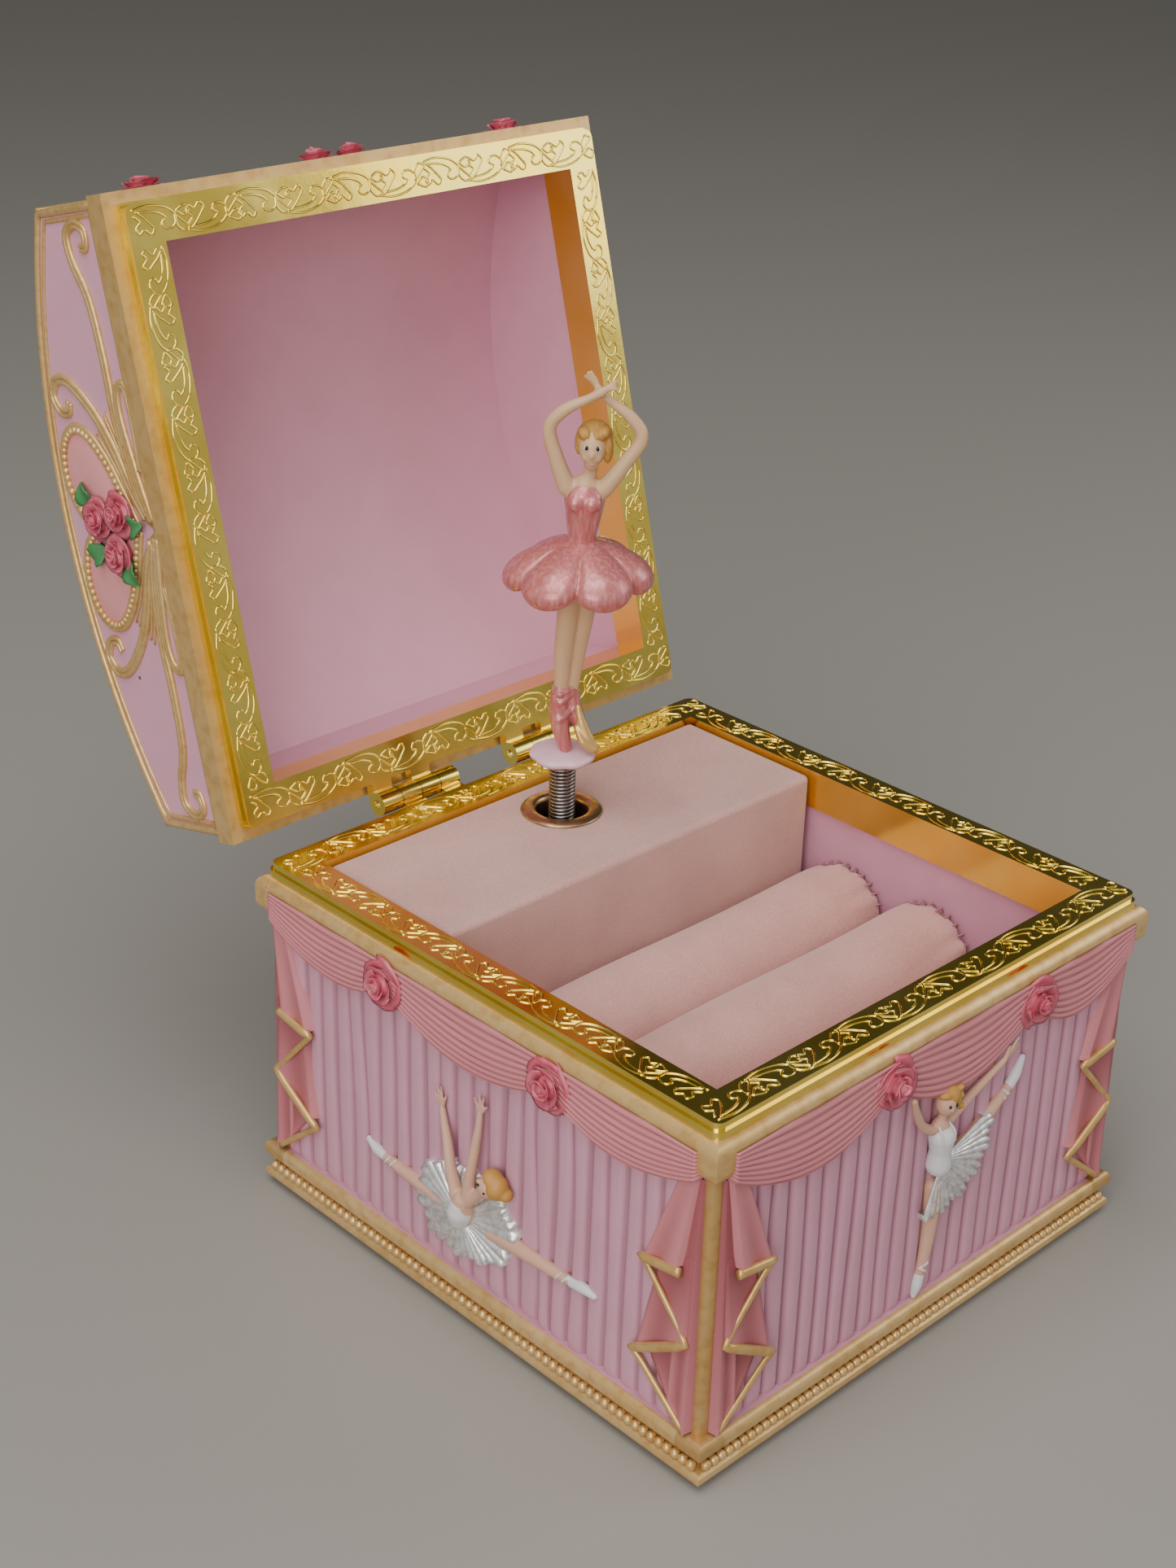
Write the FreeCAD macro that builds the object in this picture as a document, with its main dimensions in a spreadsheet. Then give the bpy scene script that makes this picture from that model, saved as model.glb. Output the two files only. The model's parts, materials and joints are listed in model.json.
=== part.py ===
import FreeCAD, Part
import math
import os
import re

import Sketcher
from FreeCAD import Placement, Rotation, Vector

# A musical jewellery box: a cast base and a domed lid, each rimmed by a plated frame, hinged at the
# back.  A key-wound movement under the rear cover turns a dancer that stands on a close-wound spring
# and folds forward under the lid.  Front is -Y, the hinge is at +Y, and Z is up from the feet.
# The model stands as the box does when it is open: the lid leans back past vertical on its stop.

DRIVING = {
    # plated frames
    "frame_width": 110, "frame_depth": 112, "frame_face": 7, "frame_plate": 1.4, "frame_flange": 1.4,
    "flange_outset": 0.4, "skirt_depth": 5.2, "skirt_wall": 0.8, "frame_corner": 1.6,
    "frame_top": 71, "lid_gap": 0.5,
    # hinges
    "hinge_setback": 4.1, "hinge_centre": 17, "knuckle_radius": 2.3, "knuckle_length": 4.6,
    "knuckle_pitch": 4.75, "pin_radius": 0.8, "pin_length": 17.4, "hinge_clearance": 0.05,
    "open_angle": 105,
    # base casting
    "foot_height": 1.6, "foot_radius": 4, "foot_inset": 5.5,
    "wall_width": 108, "wall_depth": 110, "rim_width": 114, "rim_depth": 116, "rim_height": 7.4,
    "rim_fillet": 2.2, "band_height": 4.7, "band_step": 1.5, "roll_height": 3.4, "roll_width": 114.4,
    "roll_depth": 116.4, "roll_fillet": 1.3, "cavity_width": 98.4, "cavity_depth": 100,
    "cavity_corner": 2, "floor_under": 12, "floor_top": 16, "recess_width": 88, "recess_depth": 98,
    "column_radius": 1.7, "column_inset": 0.5,
    # lid casting
    "lid_wall_width": 113, "lid_wall_depth": 114.6, "lid_rim_width": 115, "lid_rim_depth": 117,
    "lid_rim_height": 4.4, "lid_shoulder": 97.6, "lid_crown": 110.6, "lid_thickness": 4,
    # rear cover, its eyelet and the ring rolls
    "cover_front": 15.4, "cover_back": 48.6, "cover_width": 94.8, "cover_top": 70.2, "cover_wall": 1.5,
    "cover_round": 1.2, "eyelet_radius": 7.9, "eyelet_hole": 4.9, "eyelet_tube": 5.5,
    "eyelet_lip": 0.9, "tray_top": 34, "tray_wall": 1.5, "roll_radius": 10.6, "roll_pitch": 21.4,
    "roll_first": 4.4, "roll_length": 97.6, "roll_corner": 3,
    "roll_squash": 1.2,
    # the spindle that turns the dancer
    "spindle_back": 37, "shaft_radius": 1.5, "running_clearance": 0.05, "spindle_base": 31.7,
    "spindle_socket": 2.5, "ferrule_base": 56, "ferrule_top": 66, "ferrule_radius": 1.95,
    "spring_radius": 2.55, "wire_pitch": 0.6, "spring_bore": 2, "spring_top": 82.3,
    "disc_under": 81.1, "disc_radius": 6.4, "disc_thickness": 2, "stub_length": 3,
    "bend_height": 77, "dancer_height": 156,
    # movement
    "bed_left": 12, "bed_right": 42, "bed_front": 18, "bed_back": 46.6, "bed_thickness": 2,
    "barrel_radius": 9.5, "barrel_top": 29, "barrel_wall": 0.8, "wheel_base": 30, "wheel_web": 1.5,
    "wheel_radius": 9.8, "crown_teeth": 40, "crown_mean": 9, "crown_face": 1.4, "tooth_height": 0.85,
    "pinion_teeth": 16, "gear_module": 0.45, "drum_height": 35.55, "drum_radius": 6, "drum_left": 12.6,
    "drum_right": 30.6, "drum_arbor": 0.8, "fine_module": 0.4, "drum_wheel_teeth": 36,
    "idler_pinion_teeth": 10, "idler_wheel_teeth": 20, "comb_teeth": 18, "comb_pitch": 0.98,
    "comb_gap": 0.12, "pin_stand": 0.45, "worm_radius": 1.3, "fan_radius": 2.8,
    "key_span": 19, "key_height": 6.6, "key_foot": 2.4, "key_plate": 1.8, "key_boss": 3,
}

doc = FreeCAD.newDocument("MusicalJewelleryBox")
dims = doc.addObject("Spreadsheet::Sheet", "dims")
for row, (alias, value) in enumerate(DRIVING.items(), start=1):
    dims.set(f"A{row}", alias)
    dims.set(f"B{row}", str(value))
    dims.setAlias(f"B{row}", alias)
doc.recompute()


def on_sheet(expression):
    """Point every plain word of an expression at the sheet's cell of that name."""
    return re.sub(r"\b([a-z]\w+)\b", r"dims.\1", str(expression))


def size(expression):
    """The value of an expression on the sheet, for shapes made by Part's own functions."""
    return float(dims.evalExpression(on_sheet(expression)))


def bind(thing, **expressions):
    for name, expression in expressions.items():
        thing.setExpression(name, on_sheet(expression))
    return thing


def at(thing, x=0, y=0, z=0):
    for axis, expression in zip("xyz", (x, y, z)):
        thing.setExpression(f"Placement.Base.{axis}", on_sheet(expression))
    return thing


def block(name, x, y, z, width, depth, height):
    """A box from its low corner (x, y, z)."""
    thing = doc.addObject("Part::Box", name)
    return at(bind(thing, Length=width, Width=depth, Height=height), x, y, z)


ALONG = {
    "X": Rotation(Vector(0, 1, 0), 90),
    "Y": Rotation(Vector(1, 0, 0), -90),
    "Z": Rotation(),
}


def rod(name, x, y, z, radius, length, along="Z"):
    """A round bar that starts at (x, y, z)."""
    thing = doc.addObject("Part::Cylinder", name)
    thing.Placement.Rotation = ALONG[along]
    return at(bind(thing, Radius=radius, Height=length), x, y, z)


def taper(name, x, y, z, low, high, height):
    thing = doc.addObject("Part::Cone", name)
    return at(bind(thing, Radius1=low, Radius2=high, Height=height), x, y, z)


def joined(name, pieces):
    thing = doc.addObject("Part::MultiFuse", name)
    thing.Shapes = pieces
    return thing


def cut(name, base, tool):
    thing = doc.addObject("Part::Cut", name)
    thing.Base = base
    thing.Tool = tool
    return thing


def solid(name, shape):
    """A piece whose shape has no parametric feature, such as a wound spring or a gear."""
    thing = doc.addObject("Part::Feature", name)
    thing.Shape = shape
    return thing


def new_body(name):
    return doc.addObject("PartDesign::Body", name)


def sketch_on(body, name, role="XY_Plane", offset=0):
    """An empty sketch on one of the body's own origin planes, lifted by offset."""
    sketch = body.newObject("Sketcher::SketchObject", name)
    plane = [item for item in body.Origin.OriginFeatures if item.Role == role][0]
    sketch.AttachmentSupport = [(plane, "")]
    sketch.MapMode = "FlatFace"
    sketch.setExpression("AttachmentOffset.Base.z", on_sheet(offset))
    return sketch


def name_size(sketch, constraint, label, expression):
    """Add a driving dimension to a sketch and tie it to the sheet."""
    index = sketch.addConstraint(constraint)
    sketch.renameConstraint(index, label)
    sketch.setExpression(f"Constraints.{label}", on_sheet(expression))


def rectangle(sketch, width, depth, low=None):
    """A rectangle about the sketch's vertical axis, centred on the origin or standing on low."""
    half = size(width) / 2
    bottom = size(low) if low is not None else -size(depth) / 2
    top = bottom + size(depth)
    corners = [Vector(-half, bottom), Vector(half, bottom), Vector(half, top), Vector(-half, top)]
    first = sketch.GeometryCount
    for step in range(4):
        sketch.addGeometry(Part.LineSegment(corners[step], corners[(step + 1) % 4]))
    for step in range(4):
        sketch.addConstraint(Sketcher.Constraint("Coincident", first + step, 2, first + (step + 1) % 4, 1))
    for step in (1, 3):
        sketch.addConstraint(Sketcher.Constraint("Vertical", first + step))
    sketch.addConstraint(Sketcher.Constraint("Horizontal", first + 2))
    tag = f"r{first}"
    if low is None:
        sketch.addConstraint(Sketcher.Constraint("Horizontal", first))
        sketch.addConstraint(Sketcher.Constraint("Symmetric", first, 1, first + 2, 1, -1, 1))
    else:
        sketch.addConstraint(Sketcher.Constraint("Symmetric", first, 1, first, 2, -2))
        name_size(sketch, Sketcher.Constraint("DistanceY", -1, 1, first, 1, bottom), f"{tag}low", low)
    name_size(sketch, Sketcher.Constraint("DistanceX", first, 1, first, 2, 2 * half), f"{tag}width", width)
    name_size(sketch, Sketcher.Constraint("DistanceY", first + 1, 1, first + 1, 2, top - bottom),
              f"{tag}depth", depth)
    return sketch


def circle(sketch, radius, x=0, y=0):
    """A circle whose centre is set from the sketch's origin."""
    index = sketch.addGeometry(Part.Circle(Vector(size(x), size(y)), Vector(0, 0, 1), size(radius)))
    tag = f"c{index}"
    name_size(sketch, Sketcher.Constraint("Radius", index, size(radius)), f"{tag}radius", radius)
    for kind, place in (("X", x), ("Y", y)):
        if size(place) == 0:
            axis = -2 if kind == "X" else -1
            sketch.addConstraint(Sketcher.Constraint("PointOnObject", index, 3, axis))
        else:
            link = Sketcher.Constraint(f"Distance{kind}", -1, 1, index, 3, size(place))
            name_size(sketch, link, f"{tag}{kind}", place)
    return sketch


def arch(sketch, width, base, shoulder, crown):
    """Two upright walls from base to shoulder, closed above by an arc that peaks at crown."""
    half, low, spring, peak = size(width) / 2, size(base), size(shoulder), size(crown)
    rise = peak - spring
    radius = (half * half + rise * rise) / (2 * rise)
    lean = math.asin(min(1.0, half / radius))
    centre = Vector(0, peak - radius)
    sketch.addGeometry(Part.LineSegment(Vector(-half, low), Vector(half, low)))
    sketch.addGeometry(Part.LineSegment(Vector(half, low), Vector(half, spring)))
    circle_of_arc = Part.Circle(centre, Vector(0, 0, 1), radius)
    sketch.addGeometry(Part.ArcOfCircle(circle_of_arc, math.pi / 2 - lean, math.pi / 2 + lean))
    sketch.addGeometry(Part.LineSegment(Vector(-half, spring), Vector(-half, low)))
    for one, end, other, start in ((0, 2, 1, 1), (1, 2, 2, 1), (2, 2, 3, 1), (3, 2, 0, 1)):
        sketch.addConstraint(Sketcher.Constraint("Coincident", one, end, other, start))
    sketch.addConstraint(Sketcher.Constraint("Vertical", 1))
    sketch.addConstraint(Sketcher.Constraint("Vertical", 3))
    sketch.addConstraint(Sketcher.Constraint("Symmetric", 0, 1, 0, 2, -2))
    name_size(sketch, Sketcher.Constraint("DistanceX", 0, 1, 0, 2, 2 * half), "width", width)
    if low == 0:
        sketch.addConstraint(Sketcher.Constraint("PointOnObject", 0, 1, -1))
    else:
        name_size(sketch, Sketcher.Constraint("DistanceY", -1, 1, 0, 1, low), "base", base)
    name_size(sketch, Sketcher.Constraint("DistanceY", 0, 2, 1, 2, spring - low), "wall",
              f"({shoulder}) - ({base})")
    rise_text = f"(({crown}) - ({shoulder}))"
    name_size(sketch, Sketcher.Constraint("Radius", 2, radius), "vault",
              f"(({width}) * ({width}) / 4 + {rise_text} * {rise_text}) / (2 * {rise_text})")
    sketch.addConstraint(Sketcher.Constraint("PointOnObject", 2, 3, -2))
    return sketch


def pad(body, name, sketch, length, both_ways=False):
    feature = body.newObject("PartDesign::Pad", name)
    feature.Profile = sketch
    feature.setExpression("Length", on_sheet(length))
    if both_ways:
        feature.SideType = "Symmetric"
    return feature


def pocket(body, name, sketch, length, upward=False, both_ways=False):
    """Cut a sketch downward, or upward when the sketch lies under the material."""
    doc.recompute()
    before = body.Shape.Volume
    feature = body.newObject("PartDesign::Pocket", name)
    feature.Profile = sketch
    feature.setExpression("Length", on_sheet(length))
    feature.Reversed = upward
    if both_ways:
        feature.SideType = "Symmetric"
    doc.recompute()
    if body.Shape.Volume > before - 0.01:
        raise RuntimeError(f"{name} cuts nothing")
    return feature


def edges_where(body, test):
    """Names of the edges of a body's last feature that pass a test on the edge."""
    doc.recompute()
    return [f"Edge{i}" for i, edge in enumerate(body.Tip.Shape.Edges, start=1) if test(edge)]


def upright(edge):
    box = edge.BoundBox
    return box.XLength < 1e-6 and box.YLength < 1e-6 and box.ZLength > 0.5


def rounded(body, name, test, radius):
    names = edges_where(body, test)
    if not names:
        raise RuntimeError(f"{name} finds no edge")
    base = body.Tip
    feature = body.newObject("PartDesign::Fillet", name)
    feature.Base = (base, names)
    feature.setExpression("Radius", on_sheet(radius))
    doc.recompute()
    return feature


PARTS = []


def keep(thing, label, placement=None):
    """List a finished sub-part under the name of its file."""
    thing.Label = label
    if placement is not None:
        thing.Placement = placement
    PARTS.append(thing)
    return thing


HINGE_BACK = "frame_depth / 2 + hinge_setback"
HINGE_HEIGHT = "frame_top + lid_gap / 2"
LID_FACE = "frame_top + lid_gap"
LID_SEAT = "frame_top + lid_gap + frame_plate + frame_flange"

hinge_line = Vector(0, size(HINGE_BACK), size(HINGE_HEIGHT))
opened = Placement(Vector(), Rotation(Vector(1, 0, 0), -size("open_angle")), hinge_line)


# Feet: four translucent pads glued under the corners of the plinth.

def feet():
    pads = []
    for side in (-1, 1):
        for end in (-1, 1):
            x = f"{side} * (wall_width / 2 - foot_inset)"
            y = f"{end} * (wall_depth / 2 - foot_inset)"
            pads.append(taper("foot", x, y, 0, "foot_radius - 0.5", "foot_radius", "foot_height"))
    keep(joined("foot_set", pads), "feet")


# Base casting: plinth, walls and rim in one piece, open above, with a floor above a hollow plinth.

def base_casting():
    body = new_body("base_body")
    plinth_top = "foot_height + band_height + roll_height"
    rim_low = "frame_top - frame_plate - frame_flange - rim_height"

    band = rectangle(sketch_on(body, "band_outline", offset="foot_height"),
                     "roll_width - 2 * band_step", "roll_depth - 2 * band_step")
    pad(body, "band", band, "band_height")
    roll = rectangle(sketch_on(body, "roll_outline", offset="foot_height + band_height"),
                     "roll_width", "roll_depth")
    pad(body, "roll", roll, "roll_height")
    roll_edge = size("roll_depth") / 2
    roll_side = size("roll_width") / 2

    def on_roll(edge):
        box = edge.BoundBox
        level = box.ZLength < 1e-6 and box.ZMin > size("foot_height + band_height") - 1e-6
        return level and (abs(abs(box.YMin) - roll_edge) < 1e-6 and box.YLength < 1e-6
                          or abs(abs(box.XMin) - roll_side) < 1e-6 and box.XLength < 1e-6)

    rounded(body, "roll_round", on_roll, "roll_fillet")
    walls = rectangle(sketch_on(body, "wall_outline", offset=f"{plinth_top} - 1"),
                      "wall_width", "wall_depth")
    pad(body, "walls", walls, f"({rim_low}) - ({plinth_top}) + 2")
    columns = sketch_on(body, "column_outline", offset=f"{plinth_top} - 1")
    for side in (-1, 1):
        for end in (-1, 1):
            circle(columns, "column_radius", f"{side} * (wall_width / 2 - column_inset)",
                   f"{end} * (wall_depth / 2 - column_inset)")
    pad(body, "columns", columns, f"({rim_low}) - ({plinth_top}) + 2")
    rim = rectangle(sketch_on(body, "rim_outline", offset=rim_low), "rim_width", "rim_depth")
    pad(body, "rim", rim, "rim_height")
    rim_edge = size("rim_depth") / 2
    rim_side = size("rim_width") / 2

    def on_rim(edge):
        box = edge.BoundBox
        level = box.ZLength < 1e-6 and box.ZMin > size(rim_low) - 1e-6
        return level and (abs(abs(box.YMin) - rim_edge) < 1e-6 and box.YLength < 1e-6
                          or abs(abs(box.XMin) - rim_side) < 1e-6 and box.XLength < 1e-6)

    rounded(body, "rim_round", on_rim, "rim_fillet")
    cavity = rectangle(sketch_on(body, "cavity_outline", offset="frame_top - frame_plate - frame_flange"),
                       "cavity_width", "cavity_depth")
    pocket(body, "cavity", cavity, "frame_top - frame_plate - frame_flange - floor_top")
    recess = rectangle(sketch_on(body, "recess_outline", offset="foot_height"),
                       "recess_width", "recess_depth")
    pocket(body, "recess", recess, "floor_under - foot_height", upward=True)
    holes = sketch_on(body, "hole_outline", offset="floor_top")
    circle(holes, "key_boss + 1", 0, "spindle_back")
    for x, y in SCREWS:
        circle(holes, 1.4, x, y)
    pocket(body, "holes", holes, "floor_top - floor_under")
    keep(body, "base_casting")


SCREWS = [("-9.2", "20.8"), ("38.8", "20.8"), ("24", "42")]


# Plated frames: a stepped ring with a skirt, and two of the four knuckles of each hinge.

def frame_ring(name, face, inward):
    """A ring whose show face is at height face and whose skirt runs away from it, up or down."""
    body = new_body(name)
    top = "frame_top" if inward < 0 else LID_SEAT
    plate_low = f"({face}) - frame_plate" if inward < 0 else face
    flange_low = f"({face}) - frame_plate - frame_flange" if inward < 0 else f"({face}) + frame_plate"
    skirt_low = f"({flange_low}) - skirt_depth" if inward < 0 else f"({flange_low}) + frame_flange"
    plate = rectangle(sketch_on(body, "plate_outline", offset=plate_low), "frame_width", "frame_depth")
    pad(body, "plate", plate, "frame_plate")
    flange = rectangle(sketch_on(body, "flange_outline", offset=flange_low),
                       "frame_width + 2 * flange_outset", "frame_depth + 2 * flange_outset")
    pad(body, "flange", flange, "frame_flange")
    rounded(body, "corners", upright, "frame_corner")
    skirt = rectangle(sketch_on(body, "skirt_outline", offset=skirt_low),
                      "frame_width - 2 * frame_face + 2 * skirt_wall",
                      "frame_depth - 2 * frame_face + 2 * skirt_wall")
    pad(body, "skirt", skirt, "skirt_depth")
    opening = rectangle(sketch_on(body, "opening_outline", offset=f"({top}) + 20"),
                        "frame_width - 2 * frame_face", "frame_depth - 2 * frame_face")
    pocket(body, "opening", opening, 40)
    return body


def knuckle(name, start, below):
    """One barrel of a hinge with the ear that joins it to the edge of its frame."""
    barrel = rod(name, start, HINGE_BACK, HINGE_HEIGHT, "knuckle_radius", "knuckle_length", "X")
    ear_low = f"{HINGE_HEIGHT} - knuckle_radius" if below else f"{HINGE_HEIGHT} + lid_gap"
    ear = block(f"{name}_ear", start, "frame_depth / 2 - 0.4", ear_low, "knuckle_length",
                "hinge_setback + 0.4", "knuckle_radius - lid_gap")
    return [barrel, ear]


def hinged_frame(label, face, inward, first, bore, placement=None):
    """A ring and its knuckles: every second barrel of the four, counted from first."""
    pieces = [frame_ring(f"{label}_ring", face, inward)]
    bores = []
    for side in (-1, 1):
        left = f"{side} * hinge_centre - 1.5 * knuckle_pitch - knuckle_length / 2"
        for place in (first, first + 2):
            pieces += knuckle(f"{label}_knuckle", f"{left} + {place} * knuckle_pitch", inward < 0)
        bores.append(rod(f"{label}_bore", f"{left} - 1", HINGE_BACK, HINGE_HEIGHT, bore,
                         "4 * knuckle_pitch + 2", "X"))
    keep(cut(f"{label}_cut", joined(f"{label}_solid", pieces), joined(f"{label}_bores", bores)),
         label, placement)


def hinges():
    hinged_frame("base_bezel", "frame_top", -1, 1, "pin_radius")
    hinged_frame("lid_bezel", LID_FACE, 1, 0, "pin_radius + hinge_clearance", opened)
    pins = [rod("pin", f"{side} * hinge_centre - pin_length / 2", HINGE_BACK, HINGE_HEIGHT,
                "pin_radius", "pin_length", "X") for side in (-1, 1)]
    keep(joined("pin_pair", pins), "hinge_pins")


# Lid casting: a barrel vault across the box, closed by two end walls, hollow and seated on its frame.

def lid_casting():
    body = new_body("lid_body")
    outside = arch(sketch_on(body, "vault_outline", "YZ_Plane"), "lid_wall_depth", LID_SEAT,
                   "lid_shoulder", "lid_crown")
    pad(body, "vault", outside, "lid_wall_width", both_ways=True)
    rim = rectangle(sketch_on(body, "lid_rim_outline", offset=LID_SEAT), "lid_rim_width", "lid_rim_depth")
    pad(body, "lid_rim", rim, "lid_rim_height")
    inside = arch(sketch_on(body, "hollow_outline", "YZ_Plane"), "cavity_depth", f"{LID_SEAT} - 1",
                  "lid_shoulder - lid_thickness", "lid_crown - lid_thickness")
    pocket(body, "hollow", inside, "cavity_width", both_ways=True)
    keep(body, "lid_casting", opened)


# Rear cover: a flocked card box over the movement, with a brass eyelet where the spring comes out.

def rear_cover():
    body = new_body("cover_body")
    outline = sketch_on(body, "cover_outline", offset="floor_top")
    rectangle(outline, "cover_width", "cover_back - cover_front", "cover_front")
    pad(body, "cover_block", outline, "cover_top - floor_top")
    top = size("cover_top")

    def outer(edge):
        return abs(edge.BoundBox.ZMax - top) < 1e-6

    rounded(body, "cover_soft_edges", outer, "cover_round")
    inside = sketch_on(body, "cover_inside", offset="floor_top")
    rectangle(inside, "cover_width - 2 * cover_wall", "cover_back - cover_front - 2 * cover_wall",
              "cover_front + cover_wall")
    pocket(body, "cover_hollow", inside, "cover_top - cover_wall - floor_top", upward=True)
    hole = circle(sketch_on(body, "cover_hole", offset="cover_top"), "eyelet_tube", 0, "spindle_back")
    pocket(body, "eyelet_hole", hole, "cover_wall + 1")
    keep(body, "mechanism_cover")


def eyelet():
    lip = taper("eyelet_lip", 0, "spindle_back", "cover_top", "eyelet_radius", "eyelet_tube + 0.6",
                "eyelet_lip")
    tube = rod("eyelet_tube", 0, "spindle_back", "cover_top - 3.6", "eyelet_tube", "3.6 + eyelet_lip / 2")
    bore = rod("eyelet_bore", 0, "spindle_back", "cover_top - 5", "eyelet_hole", 8)
    keep(cut("eyelet_cut", joined("eyelet_solid", [lip, tube]), bore), "eyelet")


# Ring compartment: three upholstered foam rolls side by side on a folded card tray.

def ring_tray():
    length = "cavity_width - 0.8"
    depth = "cover_front + cavity_depth / 2 - 0.6"
    outside = block("tray_block", f"-({length}) / 2", "-cavity_depth / 2 + 0.3", "floor_top", length,
                    depth, "tray_top - floor_top")
    inside = block("tray_inside", f"-({length}) / 2 - 1", "-cavity_depth / 2 + 0.3 + tray_wall",
                   "floor_top - 1", f"{length} + 2", f"{depth} - 2 * tray_wall",
                   "tray_top - floor_top - tray_wall + 1")
    keep(cut("tray_cut", outside, inside), "ring_tray")


def ring_roll(label, order):
    """A foam roll: round above, flat where it is glued down and where it meets its neighbour."""
    body = new_body(f"{label}_body")
    outline = arch(sketch_on(body, "roll_outline", "YZ_Plane"), "2 * roll_radius", 0,
                   "roll_radius + roll_squash", "2 * roll_radius")
    pad(body, "roll", outline, "roll_length", both_ways=True)

    def lower_long(edge):
        box = edge.BoundBox
        return box.ZMax < 1e-6 and box.XLength > 1

    rounded(body, "roll_foot", lower_long, "roll_corner")
    keep(at(body, 0, f"roll_first - {order} * roll_pitch", "tray_top"), label)


# Ornaments: roses and dancers cast apart and glued to the walls.

def rose_shape(radius):
    """An open rose about +Z: a spread of outer petals, a cup of inner ones and a bud."""
    outer = Part.makeCone(radius, 0.82 * radius, 0.42 * radius)
    cup = Part.makeCone(0.74 * radius, 0.55 * radius, 0.4 * radius, Vector(0, 0, 0.42 * radius))
    bud = Part.makeSphere(0.34 * radius, Vector(0, 0, 0.8 * radius))
    return outer.fuse([cup, bud])


def facing(shape, place, normal):
    """Stand a shape made about +Z on a wall, at a place, looking along its normal."""
    turned = shape.copy()
    turned.Placement = Placement(place, Rotation(Vector(0, 0, 1), normal)).multiply(shape.Placement)
    return turned


ROSE_RADIUS = 4.3
ROSE_SIDE = 21.0
ROSE_FRONT = (-15.0, 24.0)
LEAF_SIZE = 2.2


def base_roses():
    height = size("frame_top") - 9.2
    x = size("wall_width") / 2
    y = size("wall_depth") / 2
    roses = []
    for side in (-1, 1):
        for along in (-ROSE_SIDE, ROSE_SIDE):
            roses.append(facing(rose_shape(ROSE_RADIUS), Vector(side * x, along, height),
                                Vector(side, 0, 0)))
        for along in ROSE_FRONT:
            roses.append(facing(rose_shape(ROSE_RADIUS), Vector(-side * along, side * y, height),
                                Vector(0, side, 0)))
    doc.recompute()
    wall = doc.getObjectsByLabel("base_casting")[0].Shape
    fitted = [rose.cut(wall) for rose in roses]
    keep(solid("base_rose_set", Part.makeCompound(fitted)), "base_roses")


def lid_roses():
    height = size(LID_SEAT) + 9.5
    y = size("lid_wall_depth") / 2
    x = size("lid_wall_width") / 2
    walls = []
    for side in (-1, 1):
        for along, radius in ((-43, 4), (-3.9, 3.7), (3.9, 3.7), (43, 4)):
            walls.append(facing(rose_shape(radius), Vector(along, side * y, height), Vector(0, side, 0)))
    keep(solid("lid_wall_rose_set", Part.makeCompound(walls)), "lid_wall_roses", opened)
    ends = []
    leaves = []
    middle = size(LID_SEAT) + 18.6
    for side in (-1, 1):
        for y_place, z_place in ((4.3, -1.2), (-1.8, 2.4), (-2.6, -4.2)):
            ends.append(facing(rose_shape(3.1), Vector(side * x, y_place, middle + z_place),
                               Vector(side, 0, 0)))
        for y_place, z_place, turn in ((8.6, -3.4, 0), (-6.6, 4.4, 40), (-0.6, -8.6, 90)):
            leaf = Part.makeSphere(LEAF_SIZE, Vector(), Vector(0, 0, 1), 0, 90, 360)
            leaf = leaf.transformGeometry(FreeCAD.Matrix(1, 0, 0, 0, 0, 0.55, 0, 0, 0, 0, 0.5, 0))
            leaf.rotate(Vector(), Vector(0, 0, 1), turn)
            leaves.append(facing(leaf, Vector(side * x, y_place, middle + z_place), Vector(side, 0, 0)))
    keep(solid("lid_end_rose_set", Part.makeCompound(ends)), "lid_end_roses", opened)
    keep(solid("lid_end_leaf_set", Part.makeCompound(leaves)), "lid_end_leaves", opened)


def limb(start, end, thick, thin):
    """A tapered limb between two points, with a ball at each end."""
    run = end - start
    shaft = Part.makeCone(thick, thin, run.Length, start, run)
    return shaft.fuse([Part.makeSphere(thick, start), Part.makeSphere(thin, end)])


def relief_dancer(label, wall, points, skirt, head):
    """A dancer laid against a wall.  Points are along the wall, up, and out from its face."""

    def on_wall(along, up, out):
        if wall[0] == 0:
            return Vector(-wall[1] * along, wall[1] * (size("wall_depth") / 2 + out), up)
        return Vector(wall[0] * (size("wall_width") / 2 + out), wall[0] * along, up)

    pieces = []
    for thick, thin, run in points:
        stops = [on_wall(*stop) for stop in run]
        for start, end in zip(stops, stops[1:]):
            pieces.append(limb(start, end, thick, thin))
    normal = Vector(wall[0], wall[1], 0)
    along, up, radius, depth = skirt
    pieces.append(facing(Part.makeCone(radius, 0.45 * radius, depth), on_wall(along, up, 0.1), normal))
    pieces.append(Part.makeSphere(head[2], on_wall(head[0], head[1], 1.5)))
    figure = pieces[0].fuse(pieces[1:])
    clear = Part.makeBox(size("wall_width"), size("wall_depth"), 80,
                         Vector(-size("wall_width") / 2, -size("wall_depth") / 2, 0))
    keep(solid(f"{label}_figure", figure.cut(clear)), label)


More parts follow.
